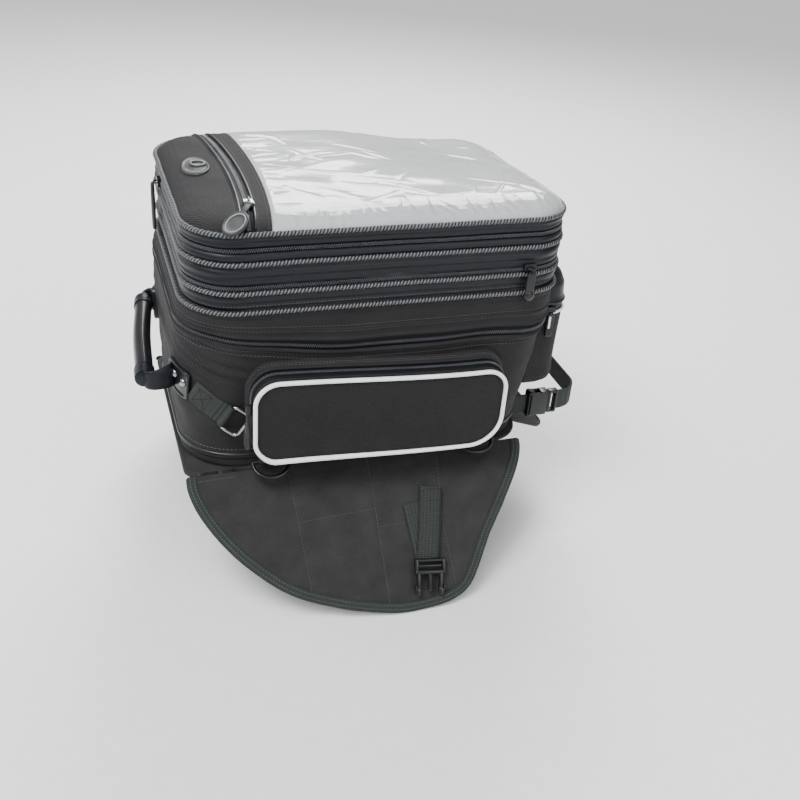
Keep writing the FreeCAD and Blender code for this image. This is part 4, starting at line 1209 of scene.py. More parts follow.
for side, body_p, body_z, nodes in (("right", "pocket_right", "pocket_zip_right", ("pocket_gusset_right", "pocket_panel_right", "pocket_slider_right")),
                                    ("left", "pocket_left", "pocket_zip_left", ("pocket_gusset_left", "pocket_panel_left", "pocket_slider_left"))):
    parts = pocket_side()
    for key, g in parts.items():
        for v in g.v:
            v[:, 2] += (1.5 if key == "tongue" else 10.5) * (1 - ss(v[:, 0], -150, 95)) * ss(v[:, 2], 5, 40)
    if side == "left":
        parts = {k: g.mirrored() for k, g in parts.items()}
    g = parts["gusset"].obj("pocket_gusset_cloth_" + side, M_TWILL, "bag", "twill", [nodes[0]])
    parts["tape"].obj("pocket_zip_tape_" + side, M_TAPE, "bag", "zip")
    parts["coil"].obj("pocket_zip_coil_" + side, M_COIL, "bag", "zip")
    parts["stitch"].obj("pocket_stitches_" + side, M_THREAD, "bag", "twill")
    p = parts["panel"].obj("pocket_pad_" + side, M_PANEL, body_p, "twill", [nodes[1]])
    parts["white"].obj("pocket_reflective_" + side, M_REFLECT, body_p, "piping")
    parts["pstitch"].obj("pocket_panel_stitches_" + side, M_THREADD, body_p, "twill")
    parts["slider"].obj("pocket_zip_slider_" + side, M_ENAMEL, body_z, "slider", [nodes[2]])
    parts["tongue"].obj("pocket_zip_tongue_" + side, M_RUBBERG, body_z, "rubber")

# ------------------------------------------------------------------ front pocket
FCOUNT = (18, 60, 18)


def front_out(s, inset=0.0):
    """Open outline of the front pocket from the right wall round to the left."""
    xr, xf, w, rr, rf = s
    x0 = 186.0
    h = w / 2 - inset
    xf, rf = xf - inset, max(rf - inset, 3.0)
    pts, nr = [], []
    for t in np.linspace(0, 1, 16, endpoint=False):
        pts.append((x0 + (xf - rf - x0) * t, -h))
        nr.append((0, -1))
    for t in np.linspace(0, 1, 18, endpoint=False):
        a = math.radians(-90 + 90 * t)
        pts.append((xf - rf + rf * math.cos(a), -h + rf + rf * math.sin(a)))
        nr.append((math.cos(a), math.sin(a)))
    for t in np.linspace(0, 1, 60, endpoint=False):
        pts.append((xf, -h + rf + (2 * h - 2 * rf) * t))
        nr.append((1, 0))
    for t in np.linspace(0, 1, 18, endpoint=False):
        a = math.radians(90 * t)
        pts.append((xf - rf + rf * math.cos(a), h - rf + rf * math.sin(a)))
        nr.append((math.cos(a), math.sin(a)))
    for t in np.linspace(0, 1, 17):
        pts.append((xf - rf + (x0 - xf + rf) * t, h))
        nr.append((0, 1))
    return np.array(pts), np.array(nr)


FPL = [(56.0, (150.0, 221.0, 196.0, 6.0, 22.0)), (60.0, (150.0, 227.0, 204.0, 6.0, 24.0)), (66.0, (150.0, 229.0, 206.0, 6.0, 24.0)),
       (154.0, (150.0, 229.0, 206.0, 6.0, 24.0)), (180.0, (150.0, 228.0, 204.0, 6.0, 24.0)), (190.0, (150.0, 224.0, 198.0, 6.0, 24.0)),
       (197.0, (150.0, 217.5, 190.0, 6.0, 23.0)), (201.0, (150.0, 211.0, 181.0, 6.0, 22.0)), (202.6, (150.0, 205.0, 172.0, 6.0, 18.0))]


def front_pts(zs, off, ins=0.0):
    Z = np.array([z for z, _ in FPL])
    L = np.array([front_out(s)[0] for _, s in FPL])
    N = front_out(FPL[3][1])[1]
    rows = []
    for z, o in zip(zs, off):
        k = int(np.clip(np.searchsorted(Z, z) - 1, 0, len(Z) - 2))
        t = (z - Z[k]) / (Z[k + 1] - Z[k])
        B = L[k] * (1 - t) + L[k + 1] * t
        P = np.c_[B, np.full(len(B), z)]
        d = o + 1.0 * noise3(P, 75, 61) * ss(z, 58, 80)
        P[:, :2] += N * np.reshape(d, (-1, 1))
        rows.append(P)
    return np.stack(rows), N


def front_piece(name, zs, off, mat, body, replaces, slot, lid=None):
    P, N = front_pts(zs, off)
    if lid is not None:
        P = np.concatenate([P, lid])
    inner, _ = front_pts(zs[::-1], [o - 2.6 for o in off[::-1]])
    P = np.concatenate([P, inner, P[:1]])
    u = np.concatenate([[0], np.cumsum(np.linalg.norm(np.diff(P[0], axis=0), axis=1))])
    w = np.concatenate([[0], np.cumsum(np.linalg.norm(np.diff(P[:, 40], axis=0), axis=1))])
    G = Geo()
    G.grid(P, np.repeat(u[None], len(P), 0), np.repeat(w[:, None], len(u), 1))
    return G.obj(name, mat, body, slot, replaces)


zs = np.concatenate([[56.2], np.arange(57, 66, 1.4), np.arange(67, 150, 3.0), [151.0, 152.4, 153.4, 153.9]])
of = 0.0 * zs - 1.2 * ss(zs, 149.5, 152.5) + 1.0 * gauss(zs, 147.5, 2.0)
P, N = front_pts([56.2], [0.0])
bottom = P[0].copy()
inner_row = bottom.copy()
inner_row[:, 0] = 186.0
inner_row[:, 1] *= 0.9
G = Geo()
G.grid(np.stack([inner_row, bottom]), np.stack([bottom[:, 1]] * 2), np.stack([inner_row[:, 0], bottom[:, 0]]))
G.obj("front_pocket_base", M_TWILL, "bag", "twill")
front_piece("front_pocket_cloth", zs, of, M_TWILL, "bag", ["front_pocket_shell"], "twill")
zs = np.concatenate([[155.5, 156.0, 157.0], np.arange(158.5, 200, 2.0), [201.0, 202.0, 202.6]])
of = 0.0 * zs - 1.2 * (1 - ss(zs, 156.0, 159.0)) + 1.0 * gauss(zs, 161.5, 2.0)
P, N = front_pts([202.6], [0.0])
row = P[0].copy()
back = row.copy()
back[:, 0] = 203.9
back[:, 1] *= 0.97
back[:, 2] = 203.4
front_piece("front_pocket_top", zs, of, M_BAND, "pocket_cap", ["front_pocket_cap"], "band", np.stack([back]))
# its zip, between the two
G = Geo()
P, N = front_pts([149.5, 152.0, 154.5, 157.0, 159.0], [-1.9, -1.7, -1.6, -1.7, -1.9])
G.grid(P, np.repeat(np.arange(P.shape[1])[None] * 3.0, 5, 0), np.repeat(np.arange(5)[:, None] * 2.5, P.shape[1], 1))
G.obj("front_zip_tape", M_TAPE, "bag", "zip")
G = Geo()
N3 = np.c_[N, np.zeros(len(N))]
for z, ph in ((153.8, 0.0), (155.4, 0.85)):
    P, _ = front_pts([z], [-1.2])
    beads(G, P[0], N3, 1.7, 2.3, 1.3, 1.2, across=True, phase=ph)
G.obj("front_zip_coil", M_COIL, "bag", "zip")
G = Geo()
P, _ = front_pts([149.2], [0.9])
tube(G, P[0], 1.6, 1.6, 10)
G.obj("front_pocket_welt", M_REFLECT, "bag", "piping")
G = Geo()
P, _ = front_pts([160.4], [0.9])
tube(G, P[0], 1.5, 1.6, 10)
G.obj("front_cap_welt", M_SEAM, "pocket_cap", "piping")
G = Geo()
for z in (165.0,):
    P, _ = front_pts([z], [0.2])
    beads(G, P[0], N3, 3.6, 2.7, 0.65, 0.55)
G.obj("front_cap_stitches", M_THREAD, "pocket_cap", "band")
G = Geo()
rbox(G, (12.0, 4.4, 7.5), (204.6, -105.6, 154.4), None, 1.6)
rbox(G, (5.0, 5.0, 4.0), (204.6, -107.0, 150.0), None, 1.4)
G.obj("front_zip_slider", M_ENAMEL, "pocket_zip_front", "slider", ["front_pocket_slider"])
G = Geo()
rbox(G, (8.8, 3.0, 29.0), (204.8, -107.7, 135.6), None, 1.3)
for k in range(6):
    rbox(G, (9.2, 4.2, 1.6), (204.8, -107.9, 124.4 + k * 3.0), None, 0.6, 2)
G.obj("front_zip_tongue", M_RUBBER, "pocket_zip_front", "rubber")
# painted highlight: a white strip along one edge of the front zip's tongue, made in the piping's white material
G = Geo()
rbox(G, (2.6, 1.2, 15.0), (203.2, -109.5, 140.0), None, 0.5)
G.obj("front_zip_painted_highlight", M_REFLECT, "pocket_zip_front", "piping")


# ------------------------------------------------------------------ things sewn on the wall
def wall_pt(s, z, off, wrinkle=True):
    """A point on the rear right corner or right side at distance s forward of the corner's end."""
    s = np.asarray(s, float)
    z = np.asarray(z, float)
    u = np.mod(s, TOTAL)
    sh = s.shape
    u, zf = u.ravel(), z.ravel()
    o = np.broadcast_to(np.asarray(off, float), sh).ravel()
    j = np.clip(np.searchsorted(RU, u) - 1, 0, NC - 1)
    t = (u - RU[j]) / (RU[j + 1] - RU[j])
    k = np.clip(np.searchsorted(LZ, zf) - 1, 0, len(LZ) - 2)
    w = (zf - LZ[k]) / (LZ[k + 1] - LZ[k])
    j2 = (j + 1) % NC
    A = LP[k, j] * (1 - w)[:, None] + LP[k + 1, j] * w[:, None]
    B = LP[k, j2] * (1 - w)[:, None] + LP[k + 1, j2] * w[:, None]
    P2 = A * (1 - t)[:, None] + B * t[:, None]
    N2 = unit(RN[j] * (1 - t)[:, None] + RN[j2] * t[:, None])
    P = np.c_[P2, zf]
    P[:, :2] += N2 * o[:, None]
    return P.reshape(sh + (3,)), np.c_[N2, np.zeros(len(N2))].reshape(sh + (3,))


def swall(m):
    """Distance along the corner in millimetres to the outline's own measure."""
    m = np.asarray(m, float)
    return np.where(m < 0, m * 0.788, m)


def patch(G, s0, z0, length, width, angle, hfun, nl=24, nw=18, side=1.5, uv=True):
    """A flat thing lying on the wall: centre (s0, z0), its length turned by angle, its height from hfun(a, b)."""
    a = np.linspace(-1, 1, nl)
    b = np.linspace(-1, 1, nw)
    A, B = np.meshgrid(a, b, indexing="ij")
    A = np.sign(A) * (1 - (1 - np.abs(A)) ** 1.4)
    B = np.sign(B) * (1 - (1 - np.abs(B)) ** 1.4)
    x, y = A * length / 2, B * width / 2
    ca, sa = math.cos(angle), math.sin(angle)
    S, Z = s0 + x * ca - y * sa, z0 + x * sa + y * ca
    P, N = wall_pt(swall(S), Z, hfun(x, y))
    G.grid(P, x, y)
    return G


S_PLATE, Z_PLATE = -80.5, 102.5
ANG = math.radians(-9.0)


def rounded_patch(G, s0, z0, length, width, r, angle, hfun):
    """A rounded plate lying on the wall, made of rings from its edge to its middle."""
    o = rrect(-length / 2, length / 2, -width / 2, width / 2, (r, r, r, r), 0.0, (14, 8))
    ca, sa = math.cos(angle), math.sin(angle)
    rows, us, ws = [], [], []
    for ins, h in hfun:
        q = o * ((min(length, width) / 2 - ins) / (min(length, width) / 2))
        S, Z = s0 + q[:, 0] * ca - q[:, 1] * sa, z0 + q[:, 0] * sa + q[:, 1] * ca
        rows.append(wall_pt(swall(S), Z, h)[0])
        us.append(np.append(q[:, 0], q[0, 0]))
        ws.append(np.append(q[:, 1], q[0, 1]))
    return G.grid(np.stack(rows), np.stack(us), np.stack(ws), closed=True)


for side in ("right", "left"):
    mir = (lambda g: g) if side == "right" else (lambda g: g.mirrored())
    # rivet plate
    G = Geo()
    rounded_patch(G, S_PLATE, Z_PLATE, 39.0, 36.5, 6.0, ANG, [(0.0, -1.0), (0.0, 2.4), (0.3, 3.3), (1.0, 4.0), (2.2, 4.1), (3.0, 3.4), (3.6, 2.7), (5.0, 2.6), (9.0, 2.7), (14.0, 2.8), (17.4, 2.9)])
    mir(G).obj("rivet_plate_" + side, M_PLASTIC, "bag", "plastic", ["handle_plates"] if side == "right" else ())
    G = Geo()
    for ds, dz in ((-4.1, 4.3), (10.9, 0.4)):
        P, N = wall_pt(swall(np.array([S_PLATE + ds])), np.array([Z_PLATE + dz]), 2.4)
        dome_head(G, P[0], N[0], 4.6, 3.4)
    mir(G).obj("rivets_" + side, M_STEEL, "bag", "metal")
    # ring tab: box-stitched webbing, folded round the ring's bar
    G = Geo()
    sa0, za0, s1, z1 = -58.5, 98.5, -19.9, 75.0
    ang = math.atan2(z1 - za0, s1 - sa0)
    L = math.hypot(s1 - sa0, z1 - za0)
    patch(G, (sa0 + s1) / 2, (za0 + z1) / 2, L, 27.5, ang,
          lambda x, y: 2.3 + 1.6 * ss(x, L / 2 - 12, L / 2) + 0.7 * np.sin(x * 2 * math.pi / 4.6) * ss(x, L / 2 - 16, L / 2 - 13) - 3.4 * (np.abs(y) > 13.6) - 3.0 * (x < -L / 2 + 0.2), 60, 20)
    mir(G).obj("ring_tab_" + side, M_WEB, "bag", "webbing", ["ring_tabs"] if side == "right" else ())
    G = Geo()
    lines = [((-12.5, -10.3), (3.5, -10.3)), ((3.5, -10.3), (3.5, 10.3)), ((3.5, 10.3), (-12.5, 10.3)), ((-12.5, 10.3), (-12.5, -10.3)), ((-12.5, -10.3), (3.5, 10.3)), ((-12.5, 10.3), (3.5, -10.3))]
    for p, q in lines:
        t = np.linspace(0, 1, 12)
        x, y = p[0] + (q[0] - p[0]) * t, p[1] + (q[1] - p[1]) * t
        ca, sb = math.cos(ang), math.sin(ang)
        x = x - 3.5
        Pp, Np = wall_pt(swall((sa0 + s1) / 2 + x * ca - y * sb), (za0 + z1) / 2 + x * sb + y * ca, 2.5)
        beads(G, Pp, Np, 2.9, 2.3, 0.7, 0.7)
    mir(G).obj("ring_tab_stitches_" + side, M_THREADD, "bag", "webbing")

# ring bar fold and the ring itself
Pb, Nb = wall_pt(swall(np.array([-19.9, -18.9])), np.array([75.0, 75.0]), 2.8)
along = unit(Pb[1] - Pb[0])
drn = unit(along * math.cos(math.radians(-31)) + np.array([0, 0, 1.0]) * math.sin(math.radians(-31)) + Nb[0] * 0.10)
bar = unit(np.cross(drn, Nb[0]))
for side in ("right", "left"):
    G = Geo()
    tube(G, np.stack([Pb[0] - bar * 13.2, Pb[0], Pb[0] + bar * 13.2]), 3.6, 2.0, 14, up=(1, 0, 0))
    (G if side == "right" else G.mirrored()).obj("ring_fold_" + side, M_WEB, "bag", "webbing")
    G = Geo()
    prof = [(-15, 0), (15, 0), (15, 21), (-15, 21)]
    L = []
    for (a0, b0), (a1, b1) in zip(prof, prof[1:] + prof[:1]):
        for t in (0.12, 0.5, 0.88) if a0 != a1 else (0.16, 0.5, 0.84):
            L.append(Pb[0] + bar * (a0 + (a1 - a0) * t) + drn * (b0 + (b1 - b0) * t))
    tube(G, smooth_line(L, 1.0, True, 2), 1.9, 1.0, 14, True, tuple(Nb[0]))
    (G if side == "right" else G.mirrored()).obj("ring_wire_" + side, M_STEEL, "ring_" + side, "metal", ["side_ring_" + side])

# D-rings on webbing loops at the foot
for side, k in (("right", 1), ("left", -1)):
    body = "d_rings_r" if k == 1 else "d_rings_l"
    G, D = Geo(), Geo()
    dn = unit(np.array([0, -0.86, -0.47]))
    bar = np.array([0, -137.4, 18.4])
    for xc in (-118.5, 116.0):
        pts = [(xc, -125.5, 24.8), (xc, -131.0, 26.4), (xc, -136.2, 25.2), (xc, -139.8, 22.0), (xc, -140.6, 18.4), (xc, -138.6, 15.2), (xc, -135.4, 15.8), (xc, -132.6, 18.4), (xc, -129.5, 20.0), (xc, -125.5, 20.4)]
        L = smooth_line(pts, 1.0)
        T = unit(np.gradient(L, axis=0))
        ribbon(G, L, np.cross(T, [1.0, 0, 0]), 25.0, 1.5, 1.0)
        prof = [(-19, 0), (19, 0), (19.2, 5)] + [(19.0 * math.cos(w), 6.0 + 15.5 * math.sin(w)) for w in np.radians(np.arange(8, 175, 12))] + [(-19.2, 5)]
        L = smooth_line([np.array([xc + a, 0, 0]) + bar + dn * b for a, b in prof], 1.0, True, 1)
        tube(D, L, 2.2, 1.2, 12, True, (0, 1, 0))
    (G if k == 1 else G.mirrored()).obj("d_ring_loops_" + side, M_WEB, body, "webbing", warp=False)
    (D if k == 1 else D.mirrored()).obj("d_ring_wires_" + side, M_PLASTIC, body, "plastic", ["d_rings_" + side], warp=False)

# handle: near strap, far strap, grip
GA, GB = np.array([-240.0, -86.0, 104.0]), np.array([-223.0, 86.0, 104.0])
gd = unit(GB - GA)
G = Geo()
t = np.linspace(0, 1, 60)
line = GA[None] * (1 - t[:, None]) + GB[None] * t[:, None]
line[:, 0] -= 2.0 * np.sin(math.pi * t) ** 2
prof = lambda s: 1.0 - 0.10 * np.exp(-(s / 0.02) ** 2) - 0.10 * np.exp(-((1 - s) / 0.02) ** 2) + 0.02 * np.sin(math.pi * s)
tube(G, line, 9.3, 2.0, 28, up=(0, 0, 1), scale=prof)
G.obj("grip_tube", M_GRIP, "handle", "rubber", ["handle_grip"])
G = Geo()
for k in (-1, 1):
    base_l = line + np.array([0, 0, 0])
    off_l = base_l + np.array([0, 0, k * 9.35])
    tube(G, off_l[3:-3], 0.5, 3.0, 6)
G.obj("grip_seams", M_SEAM, "handle", "rubber")
G = Geo()
for end, root in ((GA, (-206.0, -93.0)), (GB, (-207.5, 92.0))):
    sgn = -1 if end[1] < 0 else 1
    d = -gd if sgn < 0 else gd
    # sleeve over the end of the grip
    q = np.stack([end - d * 15.0, end - d * 8, end, end + d * 3.0])
    tube(G, q, 10.6, 1.5, 24, scale=lambda s: 1.0 - 0.05 * s + 0.02 * np.sin(s * 12))
    # the strap from the sleeve to the rivet plate
    start = end + d * 1.5
    if sgn < 0:
        mid = [start, (-237.5, -93.0, 103.5), (-230.0, -94.5, 103.5), (-221.0, -92.0, 104.0), (-214.0, -88.5, 104.5), (-209.8, -84.0, 105.0)]
    else:
        mid = [start, (-221.5, 92.5, 103.5), (-218.0, 94.5, 103.5), (-214.5, 94.0, 104.0), (-212.0, 91.0, 104.5), (-210.4, 86.0, 105.0)]
    L = smooth_line(mid, 1.5)
    T = unit(np.gradient(L, axis=0))
    N = unit(np.cross([0, 0, 1.0], T)) * (-sgn)
    ribbon(G, L, N, 26.0, 3.0, 1.5, wfun=lambda s: 19.0 + 10.0 * s)
G.obj("handle_strap_cloth", M_BAND, "handle", "webbing", ["handle_straps"])

# ------------------------------------------------------------------ base
G = Geo()
z, o = profile([(4.3, -1.6), (5.0, -0.5), (8.0, 0.1), (11.0, 0.1), (13.2, -0.5), (13.9, -1.6)], 1.0)
P = np.concatenate([shell_pts(z, o, False), shell_pts(np.array([13.9]), -60.0, False), shell_pts(np.array([4.3]), -60.0, False), shell_pts(z[:1], o[:1], False)])
G.grid(P, np.repeat(UU, len(P), 0), np.repeat(np.arange(len(P))[:, None] * 1.5, NC + 1, 1), closed=True)
pad = G.obj("base_pad_cover", M_TWILL, "base", "pad", ["base_pad"], warp=False)
G = Geo()
xs2, ys2 = np.meshgrid(np.linspace(-165, 165, 40), np.linspace(-1, 1, 30), indexing="ij")
Y2 = ys2 * half_width(xs2, FOOT, 25.0)
G.grid(np.stack([xs2, Y2, np.full_like(xs2, 13.7)], -1), xs2, Y2, flip=True)
G.obj("base_pad_top", M_LINING, "base", "gusset", warp=False)

SHEET = (-206.0, 184.0, 257.0, 11.0, 40.0)
p2, n2 = outline(SHEET)
G = Geo()
P = np.stack([np.c_[p2 - n2 * ins, np.full(len(p2), zz)] for ins, zz in ((0.8, 0.1), (0.2, 0.8), (0.0, 2.0), (0.2, 3.1), (0.8, 3.9))])
G.grid(P, np.concatenate([P[..., 0], P[:, :1, 0]], 1), np.concatenate([P[..., 1], P[:, :1, 1]], 1), closed=True)
xs3, ys3 = np.meshgrid(np.linspace(-205.3, 183.3, 120), np.linspace(-1, 1, 40), indexing="ij")
Y3 = ys3 * half_width(xs3, SHEET, 0.5)
G.grid(np.stack([xs3, Y3, np.full_like(xs3, 3.9)], -1), xs3, Y3, flip=True)
G.grid(np.stack([xs3, Y3, np.full_like(xs3, 0.1)], -1), xs3, Y3)
# front tongue
tx = np.linspace(0, 1, 26)
ty = np.linspace(-1, 1, 46)
TX, TY = np.meshgrid(tx, ty, indexing="ij")
hw = 88.0 - 30.0 * TX ** 1.3
rnd = np.sqrt(np.clip(1 - (np.clip((TX - 0.72) / 0.28, 0, 1)) ** 2 * 0.75, 0, 1))
X = 181.5 + 64.5 * TX
Yt = TY * hw * (0.55 + 0.45 * rnd)
Zt = 3.6 - 40.0 * (TX + 0.12 * TX * TX) / 1.12 + 0.8 * np.sin(TY * 5) * TX
G.grid(np.stack([X, Yt, Zt], -1), X, Yt, flip=True)
G.grid(np.stack([X, Yt, Zt - 3.4], -1), X, Yt)
G.obj("saddle_cloth", M_FLAP, "base", "flap_twill", ["saddle_base"], warp=False)
G = Geo()
edge = np.concatenate([np.stack([X, Yt, Zt - 1.6], -1)[:, 0], np.stack([X, Yt, Zt - 1.6], -1)[-1, 1:], np.stack([X, Yt, Zt - 1.6], -1)[::-1, -1][1:]])
tube(G, edge, 2.9, 2.0, 10, up=(0, 0, 1))
half = NC
q = np.c_[p2 - n2 * 0.6, np.full(len(p2), 2.0)]
rear = q[(p2[:, 0] < -150)]
order = np.argsort(-rear[:, 1] * 1.0)
tube(G, rear[order], 2.6, 2.0, 10, up=(0, 0, 1))
G.obj("saddle_binding", M_BIND, "base", "webbing", warp=False)

# webbing along the foot and the tabs of the front strap
G = Geo()
for k in (-1, 1):
    ribbon(G, [(-112.0, k * 126.3, 8.6), (10.0, k * 126.6, 8.6), (133.0, k * 126.3, 8.6)], (0, k, 0), 9.2, 1.6)
L = smooth_line([(184.5, -79.0, 15.0), (192, -79.2, 15.0), (208.0, -79.0, 15.0)], 2)
ribbon(G, L, (0, -1, 0), 23.5, 2.6)
L = smooth_line([(184.5, 79.0, 15.0), (190, 79.2, 15.0), (195.6, 79.0, 15.0)], 2)
ribbon(G, L, (0, 1, 0), 22.5, 2.4)
G.obj("base_straps", M_WEB, "base", "webbing", ["base_webbing"], warp=False)

# front side-release buckle
G = Geo()
rbox(G, (7.0, 13.0, 34.0), (209.5, -79.0, 15.0), None, 2.6)
for y in (-84.2, -73.8):
    rbox(G, (25.0, 2.6, 31.0), (219.5, y, 15.0), None, 1.2)
for zz in (0.4, 29.6):
    rbox(G, (10.0, 12.6, 3.0), (227.0, -79.0, zz), None, 1.3)
    rbox(G, (9.0, 12.6, 3.0), (211.0, -79.0, zz), None, 1.3)
rbox(G, (3.0, 13.4, 26.0), (230.4, -79.0, 15.0), None, 1.2) if False else None
G.obj("front_socket", M_PLASTIC, "base", "plastic", ["front_buckle_socket"], warp=False)
G = Geo()
rbox(G, (5.0, 9.4, 30.0), (235.0, -79.0, 15.0), None, 2.0)
rbox(G, (4.0, 8.6, 30.0), (244.3, -79.0, 15.0), None, 1.9)
for zz in (1.4, 28.6):
    rbox(G, (12.0, 8.6, 3.6), (239.6, -79.0, zz), None, 1.6)
for zz in (6.0, 24.0):
    rbox(G, (18.0, 5.0, 4.6), (224.5, -79.0, zz), None, 1.8)
rbox(G, (18.0, 3.6, 3.2), (224.5, -79.0, 15.0), None, 1.3)
G.obj("front_plug", M_PLASTIC, "front_loop", "plastic", ["front_buckle_plug"], warp=False)


def u_line():
    y, x, r = 79.0, 276.0, 28.0
    pts = [(241.0, -y)] + [(x - r, -y)]
    for a in np.radians(np.arange(-80, 1, 10)):
        pts.append((x - r + r * math.cos(a), -y + r + r * math.sin(a)))
    pts.append((x, y - r))
    for a in np.radians(np.arange(10, 91, 10)):
        pts.append((x - r + r * math.cos(a), y - r + r * math.sin(a)))
    pts.append((197.2, y))
    return np.c_[np.array(pts), np.full(len(pts), 15.0)]


G = Geo()
L = u_line()
L = resample(L, 2.0)[0]
T = unit(np.gradient(L, axis=0))
N = np.cross(T, [0, 0, 1.0])
ribbon(G, L, N, 25.0, 2.3)
ribbon(G, [(246.6, -76.6, 15.0), (252.0, -76.2, 15.0), (262.0, -76.4, 15.0)], (0, 1, 0), 24.4, 1.8)
G.obj("front_loop_webbing", M_WEB, "front_loop", "webbing", ["front_strap_loop"], warp=False)

# ------------------------------------------------------------------ side flaps
FT = np.arange(0, 215, 0.5)
fa = np.radians(34.0 + 32.0 * np.minimum(FT, 193.0) / 193.0)
FY = -130.0 - np.concatenate([[0], np.cumsum(np.cos(fa[:-1]) * 0.5)])
FZ = 4.0 - np.concatenate([[0], np.cumsum(np.sin(fa[:-1]) * 0.5)])


def flap3(x, t, dn):
    """A point on the flap: x, length down it, and height above its outer face."""
    x, t, dn = np.broadcast_arrays(np.asarray(x, float), np.asarray(t, float), np.asarray(dn, float))
    y, z, a = np.interp(t, FT, FY), np.interp(t, FT, FZ), np.interp(t, FT, fa)
    return np.stack([x, y - dn * np.sin(a), z + dn * np.cos(a)], -1), np.stack([x * 0, -np.sin(a), np.cos(a)], -1)


FLAP = [(-206.5, 3.0), (-207.0, 19.0), (-198.5, 46.0), (-172.5, 87.5), (-144.0, 117.0), (-112.0, 143.0),
        (-65.5, 162.5), (-10.5, 177.0), (27.5, 180.0), (66.5, 174.5), (88.0, 163.0), (103.0, 135.0),
        (119.0, 103.5), (146.5, 65.0), (167.5, 32.0), (175.0, 12.0), (175.5, 3.0)]
fo = smooth_line(np.c_[np.array(FLAP), np.zeros(len(FLAP))], 2.2, rounds=2)[:, :2]
STL = [[(-99, 4), (-97, 40), (-96, 74), (-93, 110), (-90, 150)], [(-8.4, 4), (-9.5, 50), (-10, 86), (-8, 125), (-6, 172)],
       [(73, 4), (68, 50), (65, 81), (68, 110), (73, 172)], [(-97, 66), (-50, 63.5), (-9, 62)], [(-10, 82), (8, 81.8), (24, 81.5)], [(-196, 8), (-180, 7.6), (-160, 7)]]


def flap_height(x, t):
    P = np.stack([x, t, 0 * x], -1)
    h = 1.3 * noise3(P, 150, 71) * ss(t, 10, 80) + 0.9 * noise3(P, 62, 72) * ss(t, 5, 40) + 0.3 * noise3(P, 26, 73) * ss(t, 5, 30)
    for line in STL[:5]:
        L = np.array(line, float)
        best = np.full(x.shape, 1e9)
        for a, b in zip(L[:-1], L[1:]):
            d = b - a
            k = np.clip(((x - a[0]) * d[0] + (t - a[1]) * d[1]) / (d @ d), 0, 1)
            best = np.minimum(best, np.hypot(x - a[0] - k * d[0], t - a[1] - k * d[1]))
        h = h - 0.95 * np.exp(-(best / 2.6) ** 2)
    for mx, mt in ((-52.0, 104.0), (-52.0, 34.0), (30.0, 42.0), (108.0, 40.0)):
        h = h + 0.8 * ss(24 - np.abs(x - mx), 0, 6) * ss(22 - np.abs(t - mt), 0, 6)
    return h


